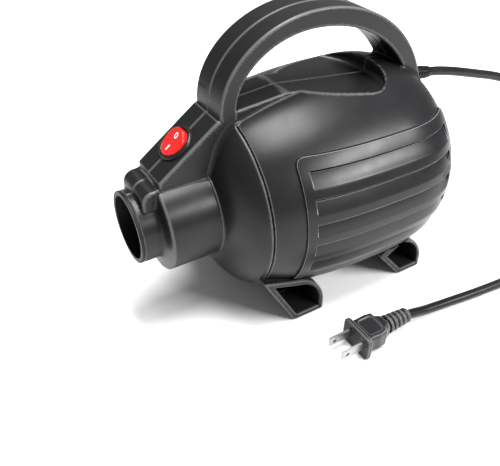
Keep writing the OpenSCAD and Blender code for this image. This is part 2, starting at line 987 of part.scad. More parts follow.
// Two leads from the board to the motor's end bell
module motor_leads()
    color("#1c3c8c")
        for (s = [-1, 1])
            lead(smooth([[94.7, 12 * s, 45.8], [95, 12 * s, 50], [94.6, 12.2 * s, 55], [92, 12.5 * s, 60],
                         [84, 13 * s, 65.5], [71, 13 * s, 70.5], [58, 11 * s, 75]], 3), 1.1);

module cord_clamp()
    color("#1f2022")
        translate([clamp_pos[0], 0, clamp_pos[1]])
            difference() {
                translate([-4, -11, -3])
                    cube([8, 22, 6]);
                for (y = [-8, 8])
                    translate([0, y, -4])
                        cylinder(r = screw_hole_r, h = 8, $fn = 24);
                translate([0, 0, -4])
                    cylinder(r = cord_r, h = 8);
            }

// The end of the cord inside the pump, from the strain relief down through the clamp
module cord_inside()
    color("#111112")
        lead(smooth([[84.8, 0, 126.7], [81.5, 0, 126.2], [78.4, 0, 124.2], [76.5, 0, 121],
                     [clamp_pos[0], 0, 117], [clamp_pos[0], 0, 106]], 2), cord_r - 0.05, 10);

module clamp_screws()
    color("#b9bcc0")
        for (y = [-8, 8])
            translate([clamp_pos[0], y, clamp_pos[1] - 9]) {
                cylinder(r = screw_r, h = 12, $fn = 24);
                translate([0, 0, 12])
                    cylinder(r = head_r, h = 1.8, $fn = 24);
            }

// ---------------------------------------------------------------- mains cord and plug

module strain_relief()
    color("#141416")
        at_gland()
            rotate_extrude()
                polygon([[0, flange_in[0]], [flange_r, flange_in[0]], [flange_r, flange_in[1]],
                         [gland_r, flange_in[1]], [gland_r, 0.8], [boot_r, 0.8],
                         [boot_r, 2.5], [boot_tip_r, boot_l], [0, boot_l]]);

module cord_from_handle()
    color("#111112")
        lead(smooth(route_down, 2), cord_r, 10);

module cord_coil()
    color("#111112")
        translate([coil_c[0], coil_c[1], coil_lift])
            rotate_extrude()
                translate([coil_r - coil_w / 2, 0])
                    square([coil_w, coil_h]);

module coil_tie()
    color("#1d1d1f")
        translate([coil_c[0] + coil_r, coil_c[1] - tie_w / 2, 0])
            difference() {
                translate([-coil_w / 2 - 1.9, 0, 0])
                    cube([coil_w + 3.5, tie_w, coil_h + coil_lift + tie_t]);
                translate([-coil_w / 2 - 0.9, -1, coil_lift])
                    cube([coil_w + 1.5, tie_w + 2, coil_h]);
            }

module cord_to_plug()
    color("#111112")
        lead(smooth(route_to_plug, 2), cord_r, 10);

module plug_body()
    color("#222326")
        translate([plug_x, plug_y, plug_z])
            rotate([0, 90, 0]) {
                linear_extrude(3)
                    plug_section(8.8, 12.6);
                translate([0, 0, 3 - eps])
                    linear_extrude(15)
                        plug_section(7.4, 9.6);
                translate([0, 0, 18 - 2 * eps])
                    linear_extrude(5)
                        plug_section(6.6, 7.6);
                translate([0, 0, 23 - 3 * eps])
                    cylinder(r = 4.6, h = plug_l - 23);
                for (i = [0:4])
                    translate([0, 0, 24.5 + i * 3.7])
                        cylinder(r = 6.2 - i * 0.25, h = 2);
            }

// Rectangle of half height h and half width w with cut corners
module plug_section(h, w)
    polygon([[-h, -w + 3], [-h + 3, -w], [h - 3, -w], [h, -w + 3], [h, w - 3], [h - 3, w], [-h + 3, w], [-h, w - 3]]);

module plug_blades()
    color("#c9cbcd")
        for (y = [-blade_pitch / 2, blade_pitch / 2])
            translate([plug_x, plug_y + y, plug_z])
                difference() {
                    translate([-blade_l, -blade_t / 2, -blade_w / 2])
                        cube([blade_l, blade_t, blade_w]);
                    translate([-11.8, 0, 0])
                        rotate([90, 0, 0])
                            cylinder(r = 1.5, h = 4, center = true, $fn = 32);
                }

// ---------------------------------------------------------------- drawing

left_housing();
right_housing();
housing_screws();
outlet_duct();
left_vent_panel();
right_vent_panel();
front_foot();
rear_foot();
foot_screws();
switch_bezel();
switch_rocker();
switch_terminals();
fan_casing();
guide_vane_ring();
impeller();
impeller_nut();
motor_shaft();
armature_core();
armature_windings();
commutator();
motor_can();
motor_magnets();
motor_end_bell();
front_bush();
rear_bush();
brush_holders();
carbon_brushes();
brush_springs();
front_motor_mount();
rear_motor_mount();
rectifier_board();
board_components();
board_screws();
switch_leads();
motor_leads();
cord_clamp();
clamp_screws();
strain_relief();
cord_inside();
cord_from_handle();
cord_coil();
coil_tie();
cord_to_plug();
plug_body();
plug_blades();
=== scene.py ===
"""Electric air mattress pump: materials, fine shapes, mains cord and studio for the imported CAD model."""
import json
import math

import bmesh
import bpy
import numpy as np
from mathutils import Matrix, Vector


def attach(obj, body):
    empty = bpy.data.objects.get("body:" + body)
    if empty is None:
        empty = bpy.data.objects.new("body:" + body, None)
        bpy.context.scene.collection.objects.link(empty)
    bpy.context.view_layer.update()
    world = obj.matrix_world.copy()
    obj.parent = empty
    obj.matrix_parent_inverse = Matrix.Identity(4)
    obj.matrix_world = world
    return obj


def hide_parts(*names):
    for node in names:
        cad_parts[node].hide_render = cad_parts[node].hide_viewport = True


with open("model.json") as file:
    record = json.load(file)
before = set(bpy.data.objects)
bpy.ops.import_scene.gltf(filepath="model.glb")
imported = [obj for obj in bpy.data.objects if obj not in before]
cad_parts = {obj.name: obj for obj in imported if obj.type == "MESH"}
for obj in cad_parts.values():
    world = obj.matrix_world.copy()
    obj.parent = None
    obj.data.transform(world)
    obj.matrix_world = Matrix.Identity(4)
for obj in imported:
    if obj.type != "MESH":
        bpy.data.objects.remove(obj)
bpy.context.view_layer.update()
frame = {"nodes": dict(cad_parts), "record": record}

MM = 0.001
AXIS_Z = 75.0
FINE = 1.0

# ------------------------------------------------------------------ camera

CAMERA_AT = (-187.8, -272.2, 287.9)
CAMERA_TURN = math.radians(-30.48)
CAMERA_RISE = math.radians(38.45)
SENSOR = 36.0
LENS = 42.25
CLIP = (0.01, 20.0)


def make_camera():
    """Camera at the photograph's angle; right, up and back are its own axes."""
    c, s = math.cos(CAMERA_TURN), math.sin(CAMERA_TURN)
    ce, se = math.cos(CAMERA_RISE), math.sin(CAMERA_RISE)
    right = Vector((c, s, 0.0))
    up = Vector((-s * se, c * se, ce))
    back = Vector((s * ce, -c * ce, se))
    data = bpy.data.cameras.new("camera")
    data.sensor_width = SENSOR
    data.lens = LENS
    data.clip_start, data.clip_end = CLIP
    camera = bpy.data.objects.new("camera", data)
    turn = Matrix((right, up, back)).transposed().to_4x4()
    camera.matrix_world = Matrix.Translation(Vector(CAMERA_AT) * MM) @ turn
    bpy.context.collection.objects.link(camera)
    bpy.context.scene.camera = camera


make_camera()

# ------------------------------------------------------------------ node helpers


def new_material(name):
    """An empty node material with an output and a Principled shader."""
    material = bpy.data.materials.new(name)
    material.use_nodes = True
    tree = material.node_tree
    tree.nodes.clear()
    out = tree.nodes.new("ShaderNodeOutputMaterial")
    shader = tree.nodes.new("ShaderNodeBsdfPrincipled")
    tree.links.new(shader.outputs[0], out.inputs[0])
    return material, tree, shader


def add_node(tree, kind, **values):
    """A node with properties and input defaults set by name."""
    node = tree.nodes.new(kind)
    for key, value in values.items():
        if key in node.inputs:
            node.inputs[key].default_value = value
        else:
            setattr(node, key, value)
    return node


def ramp(tree, factor, stops):
    """A colour ramp through (position, grey or colour) stops."""
    node = tree.nodes.new("ShaderNodeValToRGB")
    tree.links.new(factor, node.inputs[0])
    band = node.color_ramp
    while len(band.elements) < len(stops):
        band.elements.new(0.5)
    for element, (at, colour) in zip(band.elements, stops, strict=True):
        element.position = at
        if isinstance(colour, float):
            colour = (colour, colour, colour)
        element.color = (*colour, 1.0)
    return node.outputs[0]


def noise(tree, scale, detail=3.0, rough=0.5, coords=None):
    """Object-space noise; scale is in cycles per metre."""
    if coords is None:
        coords = add_node(tree, "ShaderNodeTexCoord").outputs["Object"]
    node = add_node(tree, "ShaderNodeTexNoise", Scale=scale, Detail=detail, Roughness=rough)
    tree.links.new(coords, node.inputs["Vector"])
    return node.outputs["Fac"]


def bump(tree, height, strength, distance):
    """A bump node that stands height proud by distance metres."""
    node = add_node(tree, "ShaderNodeBump", Strength=strength, Distance=distance)
    tree.links.new(height, node.inputs["Height"])
    return node.outputs["Normal"]


PLASTIC_SPECULAR, RUBBER_SPECULAR = 0.22, 0.2
# Edge colour is the colour times a gain plus a lift: edge wear and painted edge highlight.
EDGE_WEAR_AND_HIGHLIGHT_GAIN, EDGE_WEAR_AND_HIGHLIGHT_LIFT = 2.5, 0.16


def moulded_plastic(name, colour, rough, grain=0.25, edge_wear_and_highlight=0.35, coat=0.0):
    """Moulded plastic: fine spark texture, faint flow marks, and edges that the mesh marks painted lighter as
    edge wear and painted edge highlight.
    """
    material, tree, shader = new_material(name)
    flow = noise(tree, 22.0, 4.0, 0.6)
    tone = ramp(tree, flow, [(0.3, tuple(0.88 * c for c in colour)), (0.7, tuple(1.12 * c for c in colour))])
    edges = add_node(tree, "ShaderNodeAttribute")
    edges.attribute_name = "edge"
    amount = add_node(tree, "ShaderNodeMath", operation="MULTIPLY")
    tree.links.new(edges.outputs["Fac"], amount.inputs[0])
    amount.inputs[1].default_value = edge_wear_and_highlight
    # Marked edges are mixed towards a much lighter colour: edge wear and painted edge highlight.
    mix = add_node(tree, "ShaderNodeMixRGB")
    tree.links.new(amount.outputs[0], mix.inputs[0])
    tree.links.new(tone, mix.inputs[1])
    edge_wear_and_highlight_colour = [min(1.0, c * EDGE_WEAR_AND_HIGHLIGHT_GAIN + EDGE_WEAR_AND_HIGHLIGHT_LIFT) for c in colour]
    mix.inputs[2].default_value = (*edge_wear_and_highlight_colour, 1.0)
    tree.links.new(mix.outputs[0], shader.inputs["Base Color"])
    smears = noise(tree, 55.0, 5.0, 0.65)
    dull = ramp(tree, smears, [(0.25, rough - 0.05), (0.75, rough + 0.06)])
    tree.links.new(dull, shader.inputs["Roughness"])
    spark = noise(tree, 2600.0, 2.0, 0.6)
    tree.links.new(bump(tree, spark, grain, 0.00006), shader.inputs["Normal"])
    shader.inputs["Specular IOR Level"].default_value = PLASTIC_SPECULAR
    shader.inputs["Coat Weight"].default_value = coat
    shader.inputs["Coat Roughness"].default_value = 0.2
    return material


def metal(name, colour, rough, brushed=0.0, spots=0.0):
    """Metal with fine scratches along its brushing and faint tarnish."""
    material, tree, shader = new_material(name)
    shader.inputs["Metallic"].default_value = 1.0
    tarnish = noise(tree, 120.0, 4.0, 0.6)
    dark = tuple(c * (0.8 - spots) for c in colour)
    tree.links.new(ramp(tree, tarnish, [(0.3, dark), (0.65, colour)]), shader.inputs["Base Color"])
    place = add_node(tree, "ShaderNodeTexCoord").outputs["Object"]
    stretch = add_node(tree, "ShaderNodeMapping")
    stretch.inputs["Scale"].default_value = (0.06, 1.0, 1.0)
    tree.links.new(place, stretch.inputs["Vector"])
    lines = noise(tree, 3000.0, 3.0, 0.6, stretch.outputs[0])
    dull = ramp(tree, lines, [(0.3, rough), (0.7, min(1.0, rough + 0.15))])
    tree.links.new(dull, shader.inputs["Roughness"])
    tree.links.new(bump(tree, lines, 0.15 + brushed, 0.00003), shader.inputs["Normal"])
    return material


def copper_wire(name, colour):
    """Varnished windings: the strands show as fine ridges across the bundle, with painted shade in the
    grooves between them.
    """
    material, tree, shader = new_material(name)
    place = add_node(tree, "ShaderNodeTexCoord").outputs["Object"]
    wave = add_node(tree, "ShaderNodeTexWave", Scale=500.0, Distortion=1.5, Detail=2.0)
    wave.bands_direction = "Y"
    tree.links.new(place, wave.inputs["Vector"])
    # Wave troughs, the grooves between strands, take a darker colour: painted shade.
    dark = tuple(0.45 * c for c in colour)
    tree.links.new(ramp(tree, wave.outputs["Fac"], [(0.1, dark), (0.6, colour)]), shader.inputs["Base Color"])
    tree.links.new(ramp(tree, wave.outputs["Fac"], [(0.1, 0.55), (0.7, 0.28)]), shader.inputs["Roughness"])
    tree.links.new(bump(tree, wave.outputs["Fac"], 0.6, 0.0002), shader.inputs["Normal"])
    shader.inputs["Metallic"].default_value = 0.85
    return material


def rubber(name, colour, rough=0.5):
    """Soft vinyl or rubber with an orange-peel skin."""
    material, tree, shader = new_material(name)
    peel = noise(tree, 900.0, 3.0, 0.55)
    dust = noise(tree, 35.0, 4.0, 0.6)
    light = tuple(1.5 * c + 0.004 for c in colour)
    tree.links.new(ramp(tree, dust, [(0.35, colour), (0.75, light)]), shader.inputs["Base Color"])
    tree.links.new(ramp(tree, dust, [(0.3, rough - 0.06), (0.7, rough + 0.08)]), shader.inputs["Roughness"])
    tree.links.new(bump(tree, peel, 0.3, 0.00008), shader.inputs["Normal"])
    shader.inputs["Specular IOR Level"].default_value = RUBBER_SPECULAR
    return material


def woven(name, colour):
    """Woven strap: two crossing waves make the threads, with painted highlight on the raised crossings and
    painted shade between them.
    """
    material, tree, shader = new_material(name)
    place = add_node(tree, "ShaderNodeTexCoord").outputs["Object"]
    heights = []
    for direction in ("X", "Y"):
        wave = add_node(tree, "ShaderNodeTexWave", Scale=260.0, Distortion=0.4)
        wave.bands_direction = direction
        tree.links.new(place, wave.inputs["Vector"])
        heights.append(wave.outputs["Fac"])
    weave = add_node(tree, "ShaderNodeMath", operation="MULTIPLY")
    tree.links.new(heights[0], weave.inputs[0])
    tree.links.new(heights[1], weave.inputs[1])
    # Raised thread crossings take a lighter colour and the hollows between stay darker: painted highlight and
    # shade.
    light = tuple(2.2 * c + 0.01 for c in colour)
    tree.links.new(ramp(tree, weave.outputs[0], [(0.1, colour), (0.8, light)]), shader.inputs["Base Color"])
    tree.links.new(bump(tree, weave.outputs[0], 0.8, 0.0003), shader.inputs["Normal"])
    shader.inputs["Roughness"].default_value = 0.9
    shader.inputs["Sheen Weight"].default_value = 0.3
    return material


# ------------------------------------------------------------------ materials by slot

SLOTS = {
    "housing_plastic": moulded_plastic("housing_plastic", (0.008, 0.0082, 0.0088), 0.33, 0.12, 0.4),
    "panel_plastic": moulded_plastic("panel_plastic", (0.008, 0.0082, 0.0088), 0.31, 0.12, 0.7),
    "duct_plastic": moulded_plastic("duct_plastic", (0.005, 0.005, 0.0055), 0.5, 0.1, 0.1),
    "foot_plastic": moulded_plastic("foot_plastic", (0.01, 0.0103, 0.011), 0.4, 0.25, 0.35),
    "screw_steel": metal("screw_steel", (0.5, 0.51, 0.52), 0.28),
    "bezel_plastic": moulded_plastic("bezel_plastic", (0.01, 0.01, 0.011), 0.25, 0.1, 0.5),
    "rocker_red": moulded_plastic("rocker_red", (0.56, 0.012, 0.01), 0.24, 0.06, 0.12, 0.4),
    "terminal_brass": metal("terminal_brass", (0.75, 0.55, 0.22), 0.3),
    # Far darker than the impeller's own pale colour, so that the bore behind the outlet reads dark: painted
    # shade.
    "impeller_plastic": moulded_plastic("impeller_plastic", (0.035, 0.036, 0.038), 0.42, 0.15, 0.2),
    "shaft_steel": metal("shaft_steel", (0.62, 0.63, 0.64), 0.2, 0.1),
    "core_steel": metal("core_steel", (0.32, 0.33, 0.35), 0.4, 0.4),
    "copper": copper_wire("copper", (0.72, 0.3, 0.12)),
    "can_steel": metal("can_steel", (0.5, 0.51, 0.53), 0.32, 0.1, 0.1),
    "magnet_ferrite": metal("magnet_ferrite", (0.06, 0.06, 0.065), 0.55, 0.1),
    "end_bell_plastic": moulded_plastic("end_bell_plastic", (0.02, 0.02, 0.022), 0.5, 0.5, 0.2),
    "bush_bronze": metal("bush_bronze", (0.5, 0.33, 0.14), 0.4),
    "carbon": rubber("carbon", (0.03, 0.03, 0.03), 0.6),
    "mount_rubber": rubber("mount_rubber", (0.02, 0.02, 0.02), 0.6),
    "board_green": moulded_plastic("board_green", (0.02, 0.13, 0.05), 0.3, 0.2, 0.1),
    "component_black": moulded_plastic("component_black", (0.03, 0.03, 0.032), 0.4, 0.3, 0.2),
    "lead_insulation": moulded_plastic("lead_insulation", (0.35, 0.02, 0.02), 0.35, 0.1, 0.1),
    "cord_rubber": rubber("cord_rubber", (0.004, 0.004, 0.0045), 0.33),
    "tie_fabric": woven("tie_fabric", (0.015, 0.015, 0.016)),
    "plug_plastic": moulded_plastic("plug_plastic", (0.009, 0.0092, 0.0105), 0.34, 0.2, 0.4),
    "blade_nickel": metal("blade_nickel", (0.36, 0.355, 0.34), 0.3, 0.1),
}


def dress(obj, slot):
    """Gives a piece one material and names the record's slot for it."""
    obj.data.materials.clear()
    obj.data.materials.append(SLOTS[slot])


for part in frame["record"]["subparts"]:
    node = frame["nodes"][part["node"]]
    node.data.materials.clear()
    node.data.materials.append(SLOTS[part["material_slot"]])

# ------------------------------------------------------------------ mains cord

CORD_D = 6.5
CORD_EXIT = Vector((93.7, 0.0, 125.5))
CORD_DROOP = math.radians(8.0)
BOOT_L = 22.0
COIL_AT = (272.0, -60.0)
COIL_R = 37.0
COIL_LIFT = 0.6
COIL_TURNS = 4.5
COIL_PITCH = CORD_D + 0.1
PLUG_AT = Vector((-7.0, -94.5, 9.0))
PLUG_L = 42.0
ROUTE_DOWN = [
    (125, 0, 121), (140, 0, 117.5), (155, 0, 113.3), (170, 0, 108.9), (185, 0, 104.4), (200, -1, 99),
    (213, -2, 91), (224, -4, 80), (231, -6, 66), (236, -8, 51), (240, -10, 37), (245, -12, 25),
    (252, -14, 15), (261, -15.2, 8),
]
ROUTE_TO_PLUG = [
    (262, -104.4, 9.4), (250, -104.3, 7.6), (237, -104, 5.8), (222, -103.6, 4.4), (205, -103.2, 3.6),
    (185, -103, 3.4), (160, -103, 3.4), (138, -102.5, 3.4), (117, -101.5, 3.4), (95, -99.5, 3.4),
    (70, -96.5, 3.6), (52, -95.2, 5), (42, -94.7, 7),
]


def smooth_path(points, per):
    """Catmull-Rom points through a list of points."""
    p = np.array([tuple(q) for q in points], float)
    out = []
    for i in range(len(p) - 1):
        a, b, c, d = p[max(i - 1, 0)], p[i], p[i + 1], p[min(i + 2, len(p) - 1)]
        for j in range(per):
            t = j / per
            out.append(0.5 * (2 * b + (c - a) * t + (2 * a - 5 * b + 4 * c - d) * t**2
                              + (3 * b - 3 * c + d - a) * t**3))
    out.append(p[-1])
    return out


def coil_points(per_turn=16):
    """Two layers of turns a diameter apart: in towards the middle below, then out again above."""
    half = COIL_TURNS / 2
    low = COIL_LIFT + CORD_D / 2
    out = []
    for i in range(int(COIL_TURNS * per_turn) + 1):
        turn = i / per_turn
        down = abs(turn - half)
        radius = COIL_R + (down - half / 2) * COIL_PITCH
        climb = min(max((turn - half + 0.15) / 0.3, 0.0), 1.0)
        angle = math.radians(90) - 2 * math.pi * turn
        out.append((COIL_AT[0] + radius * math.cos(angle), COIL_AT[1] + radius * math.sin(angle),
                    low + COIL_PITCH * climb * climb * (3 - 2 * climb)))
    return out


def make_cord():
    """The mains cord as one curve from inside the strain relief to inside the plug."""
    along = Vector((math.cos(CORD_DROOP), 0.0, -math.sin(CORD_DROOP)))
    start = [CORD_EXIT + along * d for d in (0.0, BOOT_L / 2, BOOT_L)]
    end = [PLUG_AT + Vector((PLUG_L - 3.0, 0.0, 0.0))]
    path = smooth_path(start + ROUTE_DOWN + coil_points() + ROUTE_TO_PLUG + end, 4)
    data = bpy.data.curves.new("mains_cord", "CURVE")
    data.dimensions = "3D"
    data.bevel_depth = CORD_D / 2 * MM
    data.bevel_resolution = 5
    data.use_fill_caps = True
    spline = data.splines.new("POLY")
    spline.points.add(len(path) - 1)
    for point, place in zip(spline.points, path, strict=True):
        point.co = (*(place * MM), 1.0)
    spline.use_smooth = True
    cord = bpy.data.objects.new("mains_cord", data)
    bpy.context.collection.objects.link(cord)
    return cord


cord = make_cord()
dress(cord, "cord_rubber")
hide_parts("cord_from_handle", "cord_coil", "cord_to_plug")
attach(cord, "housing")

# ------------------------------------------------------------------ signed distances, in millimetres

NORMAL_REACH = 0.5
# Edge marks that the materials paint lighter, as edge wear and painted edge highlight.
EDGE_FROM, EDGE_SPAN = 0.15, 0.5


def rmax(a, b, r):
    """Intersection of two distances with its edge rounded to radius r."""
    u, v = a + r, b + r
    return np.minimum(np.maximum(u, v), 0) + np.hypot(np.maximum(u, 0), np.maximum(v, 0)) - r


def rmin(a, b, r):
    """Union of two distances with a fillet of radius r between them."""
    return -rmax(-a, -b, r)


def polygon_distance(points, u, v):
    """Signed distance from (u, v) to a closed polygon, negative inside."""
    nearest = np.full(u.shape, 1e9)
    inside = np.zeros(u.shape, bool)
    ring = np.array(points, float)
    for (ax, ay), (bx, by) in zip(ring, np.roll(ring, -1, axis=0), strict=True):
        ex, ey = bx - ax, by - ay
        if ex * ex + ey * ey < 1e-12:
            continue
        t = np.clip(((u - ax) * ex + (v - ay) * ey) / (ex * ex + ey * ey), 0, 1)
        nearest = np.minimum(nearest, (u - ax - t * ex) ** 2 + (v - ay - t * ey) ** 2)
        if ay != by:
            inside ^= ((ay > v) != (by > v)) & (u < ex * (v - ay) / ey + ax)
    return np.where(inside, -np.sqrt(nearest), np.sqrt(nearest))


class Outline:
    """Distance to a closed outline, read between the points of a fine table."""

    def __init__(self, points, low, high, step=0.3):
        self.low, self.step = low, step
        us = np.arange(low[0], high[0], step)
        vs = np.arange(low[1], high[1], step)
        u, v = np.meshgrid(us, vs, indexing="ij")
        self.table = polygon_distance(points, u, v).astype(np.float32)

    def __call__(self, u, v):
        a = np.clip((u - self.low[0]) / self.step, 0, self.table.shape[0] - 1.001)
        b = np.clip((v - self.low[1]) / self.step, 0, self.table.shape[1] - 1.001)
        i, j = a.astype(np.int32), b.astype(np.int32)
        a, b = a - i, b - j
        t = self.table
        return ((t[i, j] * (1 - a) + t[i + 1, j] * a) * (1 - b)
                + (t[i, j + 1] * (1 - a) + t[i + 1, j + 1] * a) * b)


def grid_lines(low, high, step, fine=()):
    """Grid lines from low to high, closer together within each (at, reach, step) of fine."""
    out = [low]
    while out[-1] < high:
        here = step
        for at, reach, small in fine:
            if abs(out[-1] - at) < reach:
                here = min(here, small)
        out.append(out[-1] + here)
    return np.array(out)


def surface_net(shape, lines, skin=None):
    """Points and quads of a distance's zero level on a grid of lines, with normals and edge marks.

    The edge marks are read from skin where it is given, so that inner features leave none.
    """
    x, y, z = np.meshgrid(*[a.astype(np.float32) for a in lines], indexing="ij")
    field = shape(x, y, z)
    size = tuple(n - 1 for n in field.shape)
    index = np.full(size, -1, np.int64)
    sides = field < 0
    count = np.zeros(size, np.int8)
    for i in (0, 1):
        for j in (0, 1):
            for k in (0, 1):
                count += sides[i:i + size[0], j:j + size[1], k:k + size[2]]
    used = (count > 0) & (count < 8)
    total = int(used.sum())
    index[used] = np.arange(total)
    sums, hits, quads = np.zeros((total, 3)), np.zeros(total), []
    for axis in range(3):
        low = [slice(None)] * 3
        high = [slice(None)] * 3
        low[axis], high[axis] = slice(None, -1), slice(1, None)
        cross = sides[tuple(low)] != sides[tuple(high)]
        at = np.argwhere(cross)
        a, b = field[tuple(low)][cross], field[tuple(high)][cross]
        place = np.stack([lines[k][at[:, k]] for k in range(3)], 1)
        step = lines[axis][at[:, axis] + 1] - lines[axis][at[:, axis]]
        place[:, axis] += step * (a / (a - b))
        one, two = (axis + 1) % 3, (axis + 2) % 3
        corners = []
        for di, dj in ((0, 0), (-1, 0), (-1, -1), (0, -1)):
            cell = at.copy()
            cell[:, one] += di
            cell[:, two] += dj
            ok = ((cell >= 0) & (cell < size)).all(1)
            cell = np.clip(cell, 0, np.array(size) - 1)
            number = np.where(ok, index[cell[:, 0], cell[:, 1], cell[:, 2]], -1)
            corners.append(number)
            good = number >= 0
            hits += np.bincount(number[good], minlength=total)
            for k in range(3):
                sums[:, k] += np.bincount(number[good], place[good, k], minlength=total)
        quad = np.stack(corners, 1)
        flip = a > 0
        quad[flip] = quad[flip][:, ::-1]
        quads.append(quad[(quad >= 0).all(1)])
    points = sums / hits[:, None]
    reach = 0.6 * min(float(np.diff(a).max()) for a in lines)
    for _ in range(4):
        value, slope = slope_at(shape, points)
        move = -value[:, None] * slope / np.maximum((slope**2).sum(1), 0.2)[:, None]
        far = np.linalg.norm(move, axis=1)
        points = points + move * np.minimum(1, reach / np.maximum(far, 1e-6))[:, None]
    _, slope = slope_at(shape, points, NORMAL_REACH)
    normals = slope / np.maximum(np.linalg.norm(slope, axis=1), 1e-6)[:, None]
    return points, np.concatenate(quads), normals, edge_at(skin or shape, points)


def slope_at(shape, points, reach=0.2):
    """Value and gradient of a distance at points."""
    value = shape(*points.T)
    slope = np.zeros_like(points)
    for k in range(3):
        step = np.zeros(3)
        step[k] = reach
        slope[:, k] = (shape(*(points + step).T) - shape(*(points - step).T)) / (2 * reach)
    return value, slope


def edge_at(shape, points, reach=0.6):
    """How sharply the surface turns outward at points: 0 on flat skin, 1 on an edge."""
    bend = -6 * shape(*points.T)
    for k in range(3):
        step = np.zeros(3)
        step[k] = reach
        bend += shape(*(points + step).T) + shape(*(points - step).T)
    return np.clip((bend / reach**2 - EDGE_FROM) / EDGE_SPAN, 0, 1)


def build(name, points, faces, slot, body, normals=None, nodes=(), smooth=True, edges=None):
    """A mesh object from millimetre points: dressed, riding on its body, standing for CAD nodes.

    With no slot the caller adds the material, and with no normals it may be smoothed by angle.
    """
    mesh = bpy.data.meshes.new(name)
    mesh.from_pydata((np.asarray(points, float) * MM).tolist(), [], [list(map(int, f)) for f in faces])
    mesh.validate()
    if normals is not None and len(mesh.vertices) == len(normals):
        mesh.shade_smooth()
        mesh.normals_split_custom_set_from_vertices(normals.tolist())
    if edges is not None and len(mesh.vertices) == len(edges):
        mesh.attributes.new("edge", "FLOAT", "POINT").data.foreach_set("value", edges)
    obj = bpy.data.objects.new(name, mesh)
    bpy.context.collection.objects.link(obj)
    if slot:
        dress(obj, slot)
    if normals is None and smooth:
        mesh.shade_smooth()
        mesh.set_sharp_from_angle(angle=math.radians(40))
        weigh = obj.modifiers.new("normals", "WEIGHTED_NORMAL")
        weigh.keep_sharp = True
    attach(obj, body)
    if nodes:
        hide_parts(*nodes)
    return obj


def flip_side(points, faces, normals, edges):
    """The same surface on the other side of the middle plane."""
    turn = np.array([1.0, -1.0, 1.0])
    return points * turn, faces[:, ::-1], normals * turn, edges


# ------------------------------------------------------------------ outlines shared with the CAD source

BODY_R = 70.0
BELLY_X = 42.0
NOSE_RUN, NOSE_POWER = 141.5, 2.6
TAIL_RUN, TAIL_POWER = 69.5, 2.9
WALL = 2.5
SEAM_X, SEAM_W, SEAM_DEEP = -46.5, 1.0, 1.2
DOME_R, DOME_X, DOME_RUN = 60.0, -41.5, 26.0
TIP_X, FLARE_X, SHOULDER_X, NECK_X = -111.5, -99.5, -96.2, -63.5
TIP_R, NOZZLE_R = 22.5, 32.0
DUCT_R = 20.3
RIM_X = TIP_X + 1.7
CONE_X = -66.0
HALF_W = 15.0
BAND = 10.0
CROWN_X, CROWN_Z = 8.0, 186.5
FRONT_LEG_X, FRONT_SPRING_Z = -55.0, 138.0
REAR_LEG_X, REAR_SPRING_Z = 95.5, 108.0
SLOPE_LOW, SLOPE_HIGH = (-94.5, 108.0), (-56.5, 136.0)
SLOPE = math.atan2(SLOPE_HIGH[1] - SLOPE_LOW[1], SLOPE_HIGH[0] - SLOPE_LOW[0])
SWITCH_AT = (SLOPE_LOW[0] + 22.5 * math.cos(SLOPE), 0.0, SLOPE_LOW[1] + 22.5 * math.sin(SLOPE))
SCOOP_AT, SCOOP_SLOPE = (-16.0, 143.2), math.radians(6.1)
SCOOP_L, SCOOP_HALF_W, SCOOP_CORNER = 73.0, 36.0, 26.0
PANEL_X, PANEL_Z = (-27.5, 89.0), (27.0, 121.0)
LOUVRE_X, LOUVRE_TOP, LOUVRE_PITCH, LOUVRE_H, LOUVRES = (-21.5, 83.0), 114.5, 14.6, 9.0, 6
SCREWS = [(8, 181.2), (-50, 147), (83, 138.5), (-80, 49.3), (-1, 16), (68, 16), (99, 75)]
BOSS_R, SCREW_R, HEAD_R, PILOT_R = 4.6, 1.7, 3.1, 1.5
MOUNT_AT = (3.0, 46.0)
MOUNT_W, MOUNT_R, ARM_ANGLES = 5, 28.05, (-58, 0, 58)
SWITCH_HOLE_R, GLAND_HOLE_R, BOOT_HOLE_R = 10.4, 4.7, 5.55
HALF_GAP, HALF_EDGE = 0.03, 0.35
PLAN = ((-115, 60), (115, 192))
SKIN_GAP = 0.12
FOOT_HALF = 55.0


def arc(c, a, b, a0, a1, n):
    """Points of an ellipse arc, angles in degrees."""
    t = np.radians(np.linspace(a0, a1, n + 1))
    return [(c[0] + a * math.cos(s), c[1] + b * math.sin(s)) for s in t]


def body_radius(x, grow=0.0):
    """Radius of the egg at x, grown outwards."""
    nose = np.clip((BELLY_X - x) / NOSE_RUN, 0, 1) ** NOSE_POWER
    tail = np.clip((x - BELLY_X) / (TAIL_RUN + grow), 0, 1) ** TAIL_POWER
    return (BODY_R + grow) * np.sqrt(1 - np.where(x < BELLY_X, nose, tail))


def egg(grow):
    """Outline of the egg from the seam to the tail, as (x, r)."""
    out = [(x, float(body_radius(x, grow))) for x in np.linspace(SEAM_X + SEAM_W, BELLY_X, 60)]
    for t in np.linspace(0, math.pi / 2, 90):
        out.append((BELLY_X + (TAIL_RUN + grow) * math.sin(t) ** (2 / TAIL_POWER),
                    (BODY_R + grow) * math.cos(t)))
    return out


def dome(grow, low):
    """Outline of the dome from the neck to the seam, as (x, r), no narrower than low."""
    xs = np.linspace(NECK_X, SEAM_X, 40)
    rise = [max(0.0, 1 - ((x - DOME_X) / (DOME_RUN + grow)) ** 2) for x in xs]
    return [(x, max(low, (DOME_R + grow) * math.sqrt(t))) for x, t in zip(xs, rise, strict=True)]


def both_sides(half):
    """A closed outline from its upper half along the axis."""
    return half + [(x, -r) for x, r in reversed(half)]


